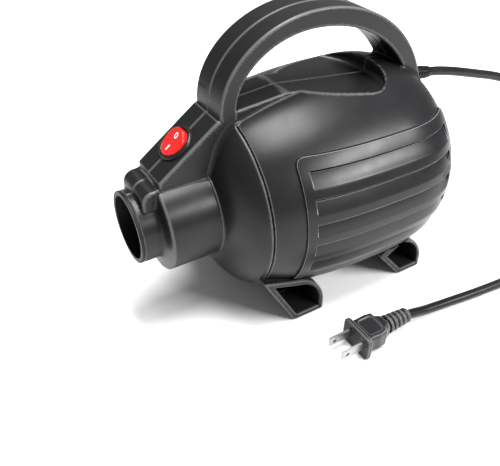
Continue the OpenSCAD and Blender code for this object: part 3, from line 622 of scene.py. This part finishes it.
SEAM_R = dome(0, NOZZLE_R)[-1][1]
flare = [(FLARE_X + (SHOULDER_X - FLARE_X) * t, TIP_R + (NOZZLE_R - 1.2 - TIP_R) * t**3)
         for t in np.linspace(0, 1, 12)]
shoulder = [(SHOULDER_X + 1.2 - 1.2 * math.cos(t), NOZZLE_R - 1.2 + 1.2 * math.sin(t))
            for t in np.linspace(0, math.pi / 2, 6)]
rim = [(RIM_X, TIP_R - 0.3), (RIM_X + 0.1, TIP_R - 0.1), (RIM_X + 0.3, TIP_R)]
bead = [(NECK_X - 1.3, NOZZLE_R), (NECK_X - 1.0, NOZZLE_R + 0.5), (NECK_X - 0.4, NOZZLE_R + 0.55)]
skin_half = (rim + flare + shoulder + bead + dome(0, NOZZLE_R)
             + [(SEAM_X, SEAM_R - SEAM_DEEP), (SEAM_X + SEAM_W, SEAM_R - SEAM_DEEP)] + egg(0))
hollow_half = ([(TIP_X - 2, DUCT_R), (SHOULDER_X + 2, DUCT_R), (SHOULDER_X + 3, NOZZLE_R - WALL)]
               + dome(-WALL, NOZZLE_R - WALL)
               + [(SEAM_X, SEAM_R - WALL - SEAM_DEEP), (SEAM_X + 3, SEAM_R - WALL - SEAM_DEEP)]
               + egg(-WALL)[2:])
REVOLVED = ((-116.0, -1.0), (116.0, 80.0))
SKIN = Outline(both_sides(skin_half), *REVOLVED)
HOLLOW = Outline(both_sides(hollow_half), *REVOLVED)


def loop_outer(grow):
    """Outside of the front leg, the loop and the rear leg, drawn in by grow."""
    return ([(FRONT_LEG_X + grow, SLOPE_HIGH[1])]
            + arc((CROWN_X, FRONT_SPRING_Z), CROWN_X - FRONT_LEG_X - grow,
                  CROWN_Z - FRONT_SPRING_Z - grow, 180, 90, 60)
            + arc((CROWN_X, REAR_SPRING_Z), REAR_LEG_X - CROWN_X - grow,
                  CROWN_Z - REAR_SPRING_Z - grow, 90, 0, 60)
            + [(REAR_LEG_X - grow, REAR_SPRING_Z - 10)])


def hand_hole(grow):
    """The hand opening, grown."""
    mid = CROWN_X - 3
    return (arc((mid, FRONT_SPRING_Z), mid - FRONT_LEG_X - BAND + grow,
                CROWN_Z - FRONT_SPRING_Z - BAND - 0.5 + grow, 180, 90, 60)
            + arc((mid, REAR_SPRING_Z), REAR_LEG_X - CROWN_X - BAND + 3 + grow,
                  CROWN_Z - REAR_SPRING_Z - BAND - 0.5 + grow, 90, 10, 60)
            + [(60, 112), (FRONT_LEG_X + BAND - grow, 112)])


web_front = [(-105.5, 82)] + arc((-98.5, 97), 7, 7, 180, 90, 12)[:-1]
WEB = Outline(web_front + [(-97.5, 104.0), (SLOPE_LOW[0], 104.4), SLOPE_LOW, SLOPE_HIGH] + loop_outer(0)
              + [(60, 98), (60, 128), (-20, 128), (-50, 82)], *PLAN)
WEB_HOLLOW = Outline([(SLOPE_LOW[0] + WALL, 92), (SLOPE_LOW[0] + WALL, SLOPE_LOW[1] - 1.2),
                      (SLOPE_HIGH[0] + WALL, SLOPE_HIGH[1] - WALL)] + loop_outer(WALL)
                     + [(60, 98), (60, 110), (-20, 110), (-50, 92)], *PLAN)
HOLE = Outline(hand_hole(0), *PLAN)
HOLE_WALL = Outline(hand_hole(WALL), *PLAN)
LEG_IN = FRONT_LEG_X + BAND - 0.5
RIB = Outline([(LEG_IN, 120), (LEG_IN, 139.6), (-30, 141), (-8, 143.2), (-2, 142), (-2, 130)],
              *PLAN)


def scoop(x, y, z, sink):
    """Sloping pocket in the crown with rounded rear corners."""
    px, pz = x - SCOOP_AT[0], z - SCOOP_AT[1] + sink
    along = px * math.cos(SCOOP_SLOPE) - pz * math.sin(SCOOP_SLOPE)
    above = px * math.sin(SCOOP_SLOPE) + pz * math.cos(SCOOP_SLOPE)
    u = along - (SCOOP_L - SCOOP_CORNER)
    v = np.abs(y) - (SCOOP_HALF_W - SCOOP_CORNER)
    plan = (np.hypot(np.maximum(u, 0), np.maximum(v, 0)) + np.minimum(np.maximum(u, v), 0)
            - SCOOP_CORNER - sink)
    return np.maximum(rmax(rmax(plan, -above, 3.0), -10 - along, 1.0), above - 14 - sink)


def outer_skin(x, y, z):
    """The housing's outside, both sides, before its openings are cut."""
    r = np.hypot(y, z - AXIS_Z)
    side = np.abs(y) - HALF_W
    loop = rmax(rmax(WEB(x, z), -HOLE(x, z), 0.8), side, 1.2)
    rib = rmax(RIB(x, z), side, 1.0)
    out = rmin(SKIN(x, r), loop, 1.0 + 2.0 * np.clip((x + 75) / 15, 0, 1))
    out = rmin(out, rib, 1.2)
    return rmax(out, -scoop(x, y, z, 0.0), 0.35)


def along_slope(x, z):
    """Coordinates up the slope and out of it, from the switch's middle."""
    px, pz = x - SWITCH_AT[0], z - SWITCH_AT[2]
    return (px * math.cos(SLOPE) + pz * math.sin(SLOPE), -px * math.sin(SLOPE) + pz * math.cos(SLOPE))


def box(*ranges):
    """Distance to a box from (value, low, high) for each of its directions."""
    return np.maximum.reduce([np.maximum(low - v, v - high) for v, low, high in ranges])


def cradle(x, y, z, at, skin):
    """Ring and three arms that hold a rubber motor mount."""
    r = np.hypot(y, z - AXIS_Z)
    ring = box((x, at, at + MOUNT_W), (r, MOUNT_R, 31))
    arms = []
    for degrees in ARM_ANGLES:
        a = math.radians(degrees)
        across = -y * math.sin(a) + (z - AXIS_Z) * math.cos(a)
        outward = y * math.cos(a) + (z - AXIS_Z) * math.sin(a)
        arms.append(box((x, at, at + MOUNT_W), (across, -2, 2), (outward, -75, -28)))
    return np.minimum(ring, np.maximum(np.minimum.reduce(arms), skin + 1))


def housing(x, y, z, right):
    """One half of the housing, modelled on the left of the middle plane."""
    r = np.hypot(y, z - AXIS_Z)
    outer = outer_skin(x, y, z)
    thick = np.where(x > -90, SKIN(x, r) + WALL + 0.2, -BODY_R)
    hollow = np.maximum.reduce([HOLLOW(x, r), thick, -scoop(x, y, z, WALL)])
    leg = np.maximum.reduce([WEB_HOLLOW(x, z), -HOLE_WALL(x, z), np.abs(y) - HALF_W + WALL])
    solid = np.maximum(outer, -np.minimum(hollow, leg))
    for at in MOUNT_AT:
        solid = np.minimum(solid, cradle(x, y, z, at, outer))
    up, out = along_slope(x, z)
    solid = np.maximum(solid, -np.maximum(np.hypot(up, y) - SWITCH_HOLE_R, -8 - out))
    gx, gz = x - CORD_EXIT.x, z - CORD_EXIT.z
    deep = gx * math.cos(CORD_DROOP) - gz * math.sin(CORD_DROOP)
    lift = gx * math.sin(CORD_DROOP) + gz * math.cos(CORD_DROOP)
    wide = np.hypot(lift, y)
    solid = np.maximum(solid, -np.maximum(wide - GLAND_HOLE_R, np.abs(deep) - 12))
    solid = np.maximum(solid, -box((wide, -9, BOOT_HOLE_R), (deep, 0.7, 24)))
    window = box((x, LOUVRE_X[0] - 2.6, LOUVRE_X[1] + 2.6), (z, PANEL_Z[0] + 4, PANEL_Z[1] - 4),
                 (y, -90, -40))
    solid = np.maximum(solid, -window)
    post = np.maximum(np.hypot(x - 74, y + 15) - 3.5, z - 44)
    bracket = np.minimum(box((x, 72, 80), (y, -11.5, -4), (z, 103.5, 113.5)),
                         box((x, 79, 118), (y, -11.5, -8.5), (z, 103.5, 111.5)))
    solid = np.minimum(solid, np.maximum(np.minimum(post, bracket), outer + 0.5))
    for sx, sz in SCREWS:
        far = np.hypot(x - sx, z - sz)
        solid = np.minimum(solid, rmax(far - BOSS_R, outer + 0.3, 0.5))
        if right:
            solid = np.maximum(solid, -(far - SCREW_R))
            solid = np.maximum(solid, -np.maximum(far - HEAD_R, y + 5))
        else:
            solid = np.maximum(solid, -np.maximum(far - PILOT_R, -9 - y))
    return rmax(solid, y + HALF_GAP, HALF_EDGE)


def make_housing():
    """The two halves as filleted shells."""
    near_x = [(SEAM_X + 0.5, 1.6, 0.35), (SHOULDER_X - 1, 3.0, 0.6), (TIP_X + 0.6, 1.3, 0.45),
              (NECK_X - 0.7, 1.3, 0.4)]
    near_x += [(sx, 4.0, 0.8) for sx, _ in SCREWS]
    near_z = [(sz, 4.0, 0.8) for _, sz in SCREWS]
    lines = [grid_lines(-113.3, 114.0, 1.3 * FINE, near_x),
             grid_lines(-72.5, 1.2, 1.3 * FINE, [(0.0, 1.8, 0.3), (-HALF_W, 2.2, 0.6)]),
             grid_lines(3.2, 189.0, 1.3 * FINE, near_z)]
    for side in ("left", "right"):
        made = surface_net(lambda x, y, z, side=side: housing(x, y, z, side == "right"), lines,
                           lambda x, y, z: rmax(outer_skin(x, y, z), y + HALF_GAP, HALF_EDGE))
        if side == "right":
            made = flip_side(*made)
        build(side + "_shell", made[0], made[1], "housing_plastic", "housing", made[2],
              [side + "_housing"], edges=made[3])


make_housing()

# ------------------------------------------------------------------ vent panels

PANEL_PROUD = 1.6
SLAT_SINK = 2.0
GAP = 1.3
SLAT_T = 1.5
SLAT_SHY = 0.15
STEP = 0.2
PANEL_CORNER = 5.0
PANEL_BEVEL, BEVEL_ANGLE = 0.3, math.radians(32)

# Light colour for the panels' bevel faces: painted edge highlight.
PANEL_EDGE_HIGHLIGHT = moulded_plastic("panel_edge_highlight", (0.17, 0.172, 0.178), 0.34, 0.1, 0.0)


def panel_lines():
    """Grid lines across and down the panel, doubled where its depth steps."""
    xs = set(np.linspace(PANEL_X[0], LOUVRE_X[0], 5)) | set(np.linspace(LOUVRE_X[1], PANEL_X[1], 5))
    xs |= set(np.linspace(LOUVRE_X[0] + 1, LOUVRE_X[1] - 1, 76))
    for edge in LOUVRE_X:
        xs |= {edge - STEP, edge + STEP}
        xs.discard(edge)
    zs = set(np.linspace(LOUVRE_TOP + 0.6, PANEL_Z[1], 7)) | set(np.linspace(PANEL_Z[0], LOUVRE_TOP, 60))
    clear = set()
    for i in range(LOUVRES):
        top = LOUVRE_TOP - i * LOUVRE_PITCH
        for edge in (top, top - GAP, top - LOUVRE_H):
            clear |= {edge - STEP, edge + STEP}
        clear |= set(np.linspace(top - GAP - 1, top - LOUVRE_H + 1, 5))
    zs = {z for z in zs if min(abs(z - c) for c in clear) > 0.6} | clear
    return np.array(sorted(xs)), np.array(sorted(zs))


def band_place(z):
    """How far down its louvre band z lies, from 0 to 1, or a negative number on a rib."""
    for i in range(LOUVRES):
        down = LOUVRE_TOP - i * LOUVRE_PITCH - z
        if 0 < down < LOUVRE_H:
            return down / LOUVRE_H
    return -1.0


def on_body(x, z, grow):
    """Point of the grown egg's left side at x and z."""
    return (x, -math.sqrt(max(float(body_radius(x, grow)) ** 2 - (z - AXIS_Z) ** 2, 1.0)), z)


def make_panel(side):
    """Frame, ribs and sloping slats of one side's intake panel, with open gaps between them."""
    xs, zs = panel_lines()
    inside_x = (xs > LOUVRE_X[0]) & (xs < LOUVRE_X[1])
    front, back = [], []
    for z in zs:
        band = band_place(z)
        near = min(z - PANEL_Z[0], PANEL_Z[1] - z, PANEL_CORNER)
        trim = PANEL_CORNER - math.sqrt(max(PANEL_CORNER**2 - (PANEL_CORNER - near) ** 2, 0.0))
        for x, louvre in zip(xs, inside_x, strict=True):
            if not louvre:
                if x < LOUVRE_X[0]:
                    x = LOUVRE_X[0] - (LOUVRE_X[0] - x) * (1 - trim / (LOUVRE_X[0] - PANEL_X[0]))
                else:
                    x = LOUVRE_X[1] + (x - LOUVRE_X[1]) * (1 - trim / (PANEL_X[1] - LOUVRE_X[1]))
            if louvre and band > 0:
                grow = PANEL_PROUD - SLAT_SHY - SLAT_SINK * (1 - band) ** 1.15
                front.append(on_body(x, z, grow))
                back.append(on_body(x, z, grow - SLAT_T))
            else:
                front.append(on_body(x, z, PANEL_PROUD))
                back.append(on_body(x, z, SKIN_GAP))
    cols, rows = len(xs), len(zs)
    middle_x = (xs[1:] + xs[:-1]) / 2
    middle_z = (zs[1:] + zs[:-1]) / 2
    keep = np.ones((rows - 1, cols - 1), bool)
    for j, z in enumerate(middle_z):
        place = band_place(z) * LOUVRE_H
        if STEP < place < GAP:
            keep[j, (middle_x > LOUVRE_X[0] + STEP) & (middle_x < LOUVRE_X[1] - STEP)] = False
    shift = len(front)
    faces = []
    edges = {}
    for j, i in np.argwhere(keep):
        a = j * cols + i
        ring = (a, a + 1, a + cols + 1, a + cols)
        faces.append(ring)
        faces.append(tuple(p + shift for p in reversed(ring)))
        for p, q in zip(ring, ring[1:] + ring[:1], strict=True):
            if (q, p) in edges:
                del edges[(q, p)]
            else:
                edges[(p, q)] = True
    faces += [(q, p, p + shift, q + shift) for p, q in edges]
    points = np.array(front + back)
    if side == "right":
        points = points * [1, -1, 1]
        faces = [f[::-1] for f in faces]
    panel = build(side + "_grille", points, faces, "panel_plastic", "housing", None,
                  [side + "_vent_panel"], smooth=False)
    mesh = panel.data
    held = {p for f in faces for p in f}
    drop_vertices(mesh, [v for v in range(len(points)) if v not in held])
    bevel = panel.modifiers.new("edges", "BEVEL")
    bevel.width = PANEL_BEVEL * MM
    bevel.segments = 2
    # Bevel faces take the light second material: painted edge highlight.
    bevel.material = 1
    panel.data.materials.append(PANEL_EDGE_HIGHLIGHT)
    bevel.limit_method = "ANGLE"
    bevel.angle_limit = BEVEL_ANGLE
    mesh.shade_smooth()
    weigh = panel.modifiers.new("normals", "WEIGHTED_NORMAL")
    weigh.weight = 80


def drop_vertices(mesh, numbers):
    """Removes vertices that no face uses."""
    work = bmesh.new()
    work.from_mesh(mesh)
    work.verts.ensure_lookup_table()
    bmesh.ops.delete(work, geom=[work.verts[n] for n in numbers], context="VERTS")
    work.to_mesh(mesh)
    work.free()


make_panel("left")
make_panel("right")

# ------------------------------------------------------------------ feet

FRONT_FOOT = [(-50, 43), (-26.5, 1), (-25, 0), (-3.5, 0), (-2.5, 1)] + arc((-30, 6), 27.5, 29, 0, 80, 24)
REAR_FOOT = [(44, 24), (63.5, 1), (65, 0), (83, 0), (84, 1)] + arc((55, 5), 29, 29, 0, 80, 24)
FOOT_HOLLOW, FOOT_CORE = 0.76, 31.0
FOOT_SCREW_Y, FOOT_SCREW_R = 22, 1.6


def make_foot(name, outline, middle):
    """A block under the body with rounded edges, a hollow at each end and two screw wells."""
    low = min(p[0] for p in outline)
    high = max(p[0] for p in outline)
    whole = Outline(outline, (low - 4, -4), (high + 4, 48), 0.25)
    centre = (middle - 2, 16)
    small = [(centre[0] + FOOT_HOLLOW * (u - centre[0]), centre[1] + FOOT_HOLLOW * (v - centre[1]))
             for u, v in outline]
    pocket = Outline(small, (low - 4, -4), (high + 4, 48), 0.25)

    def shape(x, y, z):
        r = np.hypot(y, z - AXIS_Z)
        solid = rmax(whole(x, z), np.abs(y) - FOOT_HALF, 1.1)
        solid = rmax(solid, SKIN_GAP - SKIN(x, r), 0.4)
        panel = np.maximum(np.maximum(PANEL_X[0] - 0.2 - x, PANEL_Z[0] - 0.2 - z),
                           SKIN(x, r) - PANEL_PROUD - 0.15)
        solid = np.maximum(solid, -panel)
        solid = rmax(solid, -rmax(pocket(x, z), FOOT_CORE - np.abs(y), 1.0), 0.8)
        far = np.hypot(x - middle, np.abs(y) - FOOT_SCREW_Y)
        return np.maximum(solid, -np.minimum(far - FOOT_SCREW_R, np.maximum(far - HEAD_R, z - 3)))

    lines = [grid_lines(low - 1.2, high + 1.2, 1.1 * FINE), grid_lines(-56.2, 56.5, 1.2 * FINE),
             grid_lines(-0.9, 44.5, 1.1 * FINE, [(0.4, 1.2, 0.5)])]
    made = surface_net(shape, lines)
    build(name + "_block", made[0], made[1], "foot_plastic", "housing", made[2], [name], edges=made[3])


make_foot("front_foot", FRONT_FOOT, -14.0)
make_foot("rear_foot", REAR_FOOT, 74.0)

# ------------------------------------------------------------------ switch

BEZEL_R, BEZEL_H, POCKET_R, ROCKER_R = 11.5, 1.8, 9.25, 8.8
SWITCH_DEPTH = 11.0
ROCKER_TURN = math.radians(9.0)
ROCKER_PIN_R = 1.15
SLOPE_TURN = Matrix.Rotation(-SLOPE, 4, "Y")
ON_SLOPE = Matrix.Translation(Vector(SWITCH_AT)) @ SLOPE_TURN
ON_ROCKER = ON_SLOPE @ Matrix.Rotation(-ROCKER_TURN, 4, "Y")
ROCKER_TOP = [(-ROCKER_R - 1, 3.72), (-6.5, 3.2), (-4, 2.75), (0, 2.4), (4, 2.75), (6.5, 3.2),
              (ROCKER_R + 1, 3.72)]
# Each mark runs from low to high up the slope, with its half width and its hole's half width.
MARKS = [(-6.0, -2.4, 0.42, 0.0), (2.2, 6.0, 1.45, 0.85)]
MARK_LIFT, MARK_ROOT = 0.09, -0.25


def placed(points, matrix):
    """Points moved by a matrix."""
    m = np.array(matrix)
    return np.asarray(points, float) @ m[:3, :3].T + m[:3, 3]


def lathe(profile, matrix, sides=72):
    """Points and quads of a closed profile of (r, z) turned about Z; a ring of quads per profile edge."""
    angles = np.linspace(0, 2 * math.pi, sides, endpoint=False)
    n = len(profile)
    points = [(r * math.cos(a), r * math.sin(a), z) for a in angles for r, z in profile]
    faces = []
    for s in range(sides):
        t = (s + 1) % sides
        for k in range(n):
            m = (k + 1) % n
            faces.append((s * n + k, t * n + k, t * n + m, s * n + m))
    return placed(points, matrix), faces


def rounded(profile, radius, steps=4):
    """A closed profile with each corner turned into an arc of at most radius."""
    out = []
    p = [np.array(q, float) for q in profile]
    for i, here in enumerate(p):
        back, on = p[i - 1] - here, p[(i + 1) % len(p)] - here
        cut = min(radius, 0.45 * np.linalg.norm(back), 0.45 * np.linalg.norm(on))
        a = here + back / np.linalg.norm(back) * cut
        b = here + on / np.linalg.norm(on) * cut
        for t in np.linspace(0, 1, steps):
            out.append(tuple((1 - t) ** 2 * a + 2 * t * (1 - t) * here + t**2 * b))
    return out


def make_switch():
    """Bezel ring with its body, and the round rocker."""
    ring = [(POCKET_R, -6), (POCKET_R, BEZEL_H - 0.3), (POCKET_R + 0.5, BEZEL_H), (BEZEL_R - 0.9, BEZEL_H),
            (BEZEL_R, BEZEL_H - 1.0), (BEZEL_R, 0), (10.2, 0), (10.2, -SWITCH_DEPTH), (0.3, -SWITCH_DEPTH),
            (0.3, -6)]
    points, faces = lathe(rounded(ring, 0.35), ON_SLOPE)
    build("switch_ring", points, faces, "bezel_plastic", "housing", None, ["switch_bezel"])
    side = Outline([(-ROCKER_R - 1, -2), (-3, -3), (3, -3), (ROCKER_R + 1, -2)] + ROCKER_TOP[::-1],
                   (-12, -6), (12, 8), 0.1)

    def shape(x, y, z):
        body = rmax(side(x, z), np.hypot(x, y) - ROCKER_R, 0.55)
        pin = np.maximum(np.hypot(x, z) - ROCKER_PIN_R, np.abs(y) - POCKET_R - 0.4)
        return np.minimum(body, pin)

    step = 0.38 * FINE
    lines = [grid_lines(-9.4, 9.5, step), grid_lines(-10.2, 10.2, step), grid_lines(-3.6, 4.6, step)]
    made = surface_net(shape, lines)
    normals = made[2] @ np.array(ON_ROCKER)[:3, :3].T
    build("rocker", placed(made[0], ON_ROCKER), made[1], "rocker_red", "rocker", normals,
          ["switch_rocker"])


def make_marks():
    """The bar and the ring that stand a little proud of the rocker."""
    us, heights = np.array(ROCKER_TOP).T
    points, faces = [], []
    for mark in MARKS:
        outer, inner = mark_outline(*mark)
        start = len(points)
        loops = [outer, inner] if inner else [outer]
        count = len(outer)
        for lift in (MARK_LIFT, MARK_ROOT):
            for loop in loops:
                points += [(u, v, float(np.interp(u, us, heights)) + lift) for u, v in loop]
        step = len(loops) * count
        for k in range(count):
            m = (k + 1) % count
            faces.append((start + k, start + k + step, start + m + step, start + m))
            if inner:
                a, b = start + count + k, start + count + m
                faces.append((start + k, start + m, b, a))
                faces.append((b, b + step, a + step, a))
                faces.append((start + step + m, start + step + k, a + step, b + step))
        if not inner:
            faces.append(tuple(start + k for k in range(count)))
            faces.append(tuple(start + step + k for k in reversed(range(count))))
    paint = build("rocker_marks", placed(points, ON_ROCKER), faces, None, "rocker", None, smooth=False)
    paint.data.materials.append(MARK_WHITE)


def mark_outline(low, high, half, hole):
    """An upright bar, or an oval with an oval hole, drawn up the slope."""
    middle, reach = (low + high) / 2, (high - low) / 2
    angles = np.linspace(0, 2 * math.pi, 40, endpoint=False)
    if hole:
        outer = [(middle + reach * math.cos(a), half * math.sin(a)) for a in angles]
        inner = [(middle + (reach - half + hole) * math.cos(a), hole * math.sin(a)) for a in angles]
        return outer, inner
    return [(low, half), (low, -half), (high, -half), (high, half)][::-1], None


MARK_WHITE = moulded_plastic("mark_white", (0.85, 0.84, 0.82), 0.4, 0.05, 0.05)
make_switch()
make_marks()

# ------------------------------------------------------------------ strain relief, tie, plug and duct

BOOT_R, BOOT_TIP_R, GLAND_R, FLANGE_R = 5.4, 4.0, 4.6, 5.6
BOOT_GROOVES, GROOVE_PITCH = 5, 2.8
TIE_HALF_W, TIE_TOP, TIE_HALF_L, TIE_SAG = 12.15, 14.35, 5.8, 0.12
PLUG_RIBS, RIB_PITCH = 5, 3.7
FLARE_R = 54


def make_strain_relief():
    """Tapered boot with flex grooves, its neck and the flange inside the wall."""
    turn = Matrix.Rotation(math.pi / 2 + CORD_DROOP, 4, "Y")
    profile = [(0.05, -9), (FLANGE_R, -9), (FLANGE_R, -6.7), (GLAND_R, -6.7), (GLAND_R, 0.8),
               (BOOT_R, 0.8), (BOOT_R, 2.6)]
    for k in range(BOOT_GROOVES):
        at = 6.2 + k * GROOVE_PITCH
        r = BOOT_R + (BOOT_TIP_R - BOOT_R) * (at - 2.5) / (BOOT_L - 2.5)
        profile += [(r + 0.05, at - 0.75), (r - 0.65, at - 0.55), (r - 0.68, at + 0.5), (r - 0.1, at + 0.7)]
    profile += [(BOOT_TIP_R, BOOT_L - 0.6), (BOOT_TIP_R - 0.5, BOOT_L), (0.05, BOOT_L)]
    points, faces = lathe(rounded(profile, 0.3, 3), Matrix.Translation(CORD_EXIT) @ turn, 48)
    return build("strain_relief_boot", points, faces, "cord_rubber", "housing", None, ["strain_relief"])


def make_tie():
    """Woven strap round one side of the coil."""
    half_w, top = TIE_HALF_W, TIE_TOP
    middle = Vector((COIL_AT[0] + COIL_R, COIL_AT[1], 0))
    loop = rounded([(-half_w - 0.35, 0.15), (half_w, 0.15), (half_w, top - 0.45),
                    (-half_w - 0.35, top - 0.45)], 4.5, 8)
    inner = rounded([(-half_w + 0.3, 0.6), (half_w - 0.65, 0.6), (half_w - 0.65, top - 1.1),
                     (-half_w + 0.3, top - 1.1)], 4.2, 8)
    n = len(loop)
    ys = np.linspace(-TIE_HALF_L, TIE_HALF_L, 9)
    points, faces = [], []
    for y in ys:
        sag = TIE_SAG * math.cos(y / TIE_HALF_L * math.pi / 2)
        points += [(middle.x + u, middle.y + y, v + (sag if v > top / 2 else 0)) for u, v in loop]
        points += [(middle.x + u, middle.y + y, v) for u, v in inner]
    for j in range(len(ys) - 1):
        for k in range(n):
            m = (k + 1) % n
            a, b = j * 2 * n, (j + 1) * 2 * n
            faces.append((a + k, a + m, b + m, b + k))
            faces.append((a + n + m, a + n + k, b + n + k, b + n + m))
    last = (len(ys) - 1) * 2 * n
    for k in range(n):
        m = (k + 1) % n
        faces.append((k, k + n, m + n, m))
        faces.append((last + m, last + m + n, last + k + n, last + k))
    return build("tie_strap", points, faces, "tie_fabric", "housing", None, ["coil_tie"])


def cut_box(u, v, hu, hv, r):
    """Rounded rectangle distance."""
    qu, qv = np.abs(u) - hu + r, np.abs(v) - hv + r
    return np.hypot(np.maximum(qu, 0), np.maximum(qv, 0)) + np.minimum(np.maximum(qu, qv), 0) - r


def make_plug():
    """Moulded two-pole plug: flange, waisted grip with side pads, and a ribbed sleeve on the cord."""
    def shape(x, y, z):
        u, v, w = x - PLUG_AT.x, y - PLUG_AT.y, z - PLUG_AT.z
        flange = rmax(cut_box(v, w, 12.5, 8.7, 3.4), np.abs(u - 1.5) - 1.5, 0.7)
        waist = 9.5 - 1.0 * np.clip((u - 3) / 15, 0, 1) + 0.9 * np.exp(-((u - 12) / 3.0) ** 2)
        grip = rmax(np.maximum(np.abs(v) - waist, np.abs(w) - 7.3) * 0.5 + cut_box(v, w, 9.4, 7.3, 3.2) * 0.5,
                    np.abs(u - 10) - 8, 1.2)
        pad = rmax(cut_box(u - 10.5, v, 5.2, 6.2, 2.0), 6.7 - np.abs(w), 0.3)
        grip = rmax(grip, -pad, 0.3)
        neck = rmax(cut_box(v, w, 7.4 - 0.35 * (u - 18), 6.5 - 0.25 * (u - 18), 3.0),
                    np.abs(u - 19.5) - 3.6, 0.9)
        r = np.hypot(v, w)
        sleeve = rmax(r - 4.5, np.abs(u - 31) - 11, 0.4)
        out = rmin(rmin(flange, grip, 0.8), rmin(neck, sleeve, 0.8), 0.6)
        for k in range(PLUG_RIBS):
            rib = rmax(r - 6.15 + 0.26 * k, np.abs(u - 25.5 - RIB_PITCH * k) - 1.0, 0.5)
            out = rmin(out, rib, 0.3)
        return out

    step = 0.55 * FINE
    lines = [grid_lines(PLUG_AT.x - 0.8, PLUG_AT.x + 43, step),
             grid_lines(PLUG_AT.y - 13.4, PLUG_AT.y + 13.5, step), grid_lines(-0.6, 18.6, step)]
    made = surface_net(shape, lines)
    return build("plug_shell", made[0], made[1], "plug_plastic", "housing", made[2], ["plug_body"],
                 edges=made[3])


def make_duct():
    """Outlet duct with the black lip that rims the outlet."""
    profile = [(19.5, TIP_X), (TIP_R, TIP_X), (TIP_R, RIM_X - 0.1), (DUCT_R - 0.05, RIM_X - 0.1),
               (DUCT_R - 0.05, CONE_X - 1), (21, CONE_X), (FLARE_R, SEAM_X + 0.8), (FLARE_R, SEAM_X + 2.5),
               (52.5, SEAM_X + 2.5), (52.5, SEAM_X + 1.2), (19.5, CONE_X + 0.6)]
    turn = Matrix.Translation((0, 0, AXIS_Z)) @ Matrix.Rotation(math.pi / 2, 4, "Y")
    points, faces = lathe(rounded(profile, 0.5), turn, 120)
    build("outlet_liner", points, faces, "duct_plastic", "housing", None, ["outlet_duct"])


make_duct()
boot = make_strain_relief()
tie = make_tie()
plug = make_plug()

# ------------------------------------------------------------------ floor and light

FLOOR_GREY, FLOOR_HALF = 0.9, 6.0
WORLD_STRENGTH = 0.3
LIGHT_AIM = (0.0, 0.0, 0.09)
# Each soft box has a place and a size in metres, and a power in watts.
SOFT_BOXES = {
    "top_box": ((0.1, 0.0, 1.1), (0.8, 0.4), 29.0),
    "key_box": ((0.45, -0.7, 0.6), (0.5, 0.16), 12.0),
}


def make_stage():
    """A plain pale floor that runs out of the picture."""
    half = FLOOR_HALF
    mesh = bpy.data.meshes.new("floor")
    corners = [(-half, -half, 0), (half, -half, 0), (half, half, 0), (-half, half, 0)]
    mesh.from_pydata(corners, [], [(0, 1, 2, 3)])
    floor = bpy.data.objects.new("floor", mesh)
    bpy.context.collection.objects.link(floor)
    material, tree, shader = new_material("floor_paper")
    tone = ramp(tree, noise(tree, 3.0, 2.0), [(0.3, FLOOR_GREY - 0.01), (0.7, FLOOR_GREY + 0.01)])
    tree.links.new(tone, shader.inputs["Base Color"])
    shader.inputs["Roughness"].default_value = 0.8
    shader.inputs["Specular IOR Level"].default_value = 0.1
    floor.data.materials.append(material)


def soft_box(name, place, size, power):
    """An area light aimed at the pump."""
    data = bpy.data.lights.new(name, "AREA")
    data.shape = "RECTANGLE"
    data.size, data.size_y = size
    data.energy = power
    light = bpy.data.objects.new(name, data)
    light.location = place
    aim = Vector(LIGHT_AIM) - Vector(place)
    light.rotation_euler = aim.to_track_quat("-Z", "Y").to_euler()
    bpy.context.collection.objects.link(light)


def make_lights():
    """Even surround, and the soft boxes above and at the front right."""
    world = bpy.data.worlds.new("studio")
    world.use_nodes = True
    background = world.node_tree.nodes["Background"]
    background.inputs[0].default_value = (1.0, 1.0, 1.0, 1.0)
    background.inputs[1].default_value = WORLD_STRENGTH
    bpy.context.scene.world = world
    for name, (place, size, power) in SOFT_BOXES.items():
        soft_box(name, place, size, power)
    bpy.context.scene.view_settings.view_transform = "Standard"
    bpy.context.scene.view_settings.look = "None"


make_stage()
make_lights()
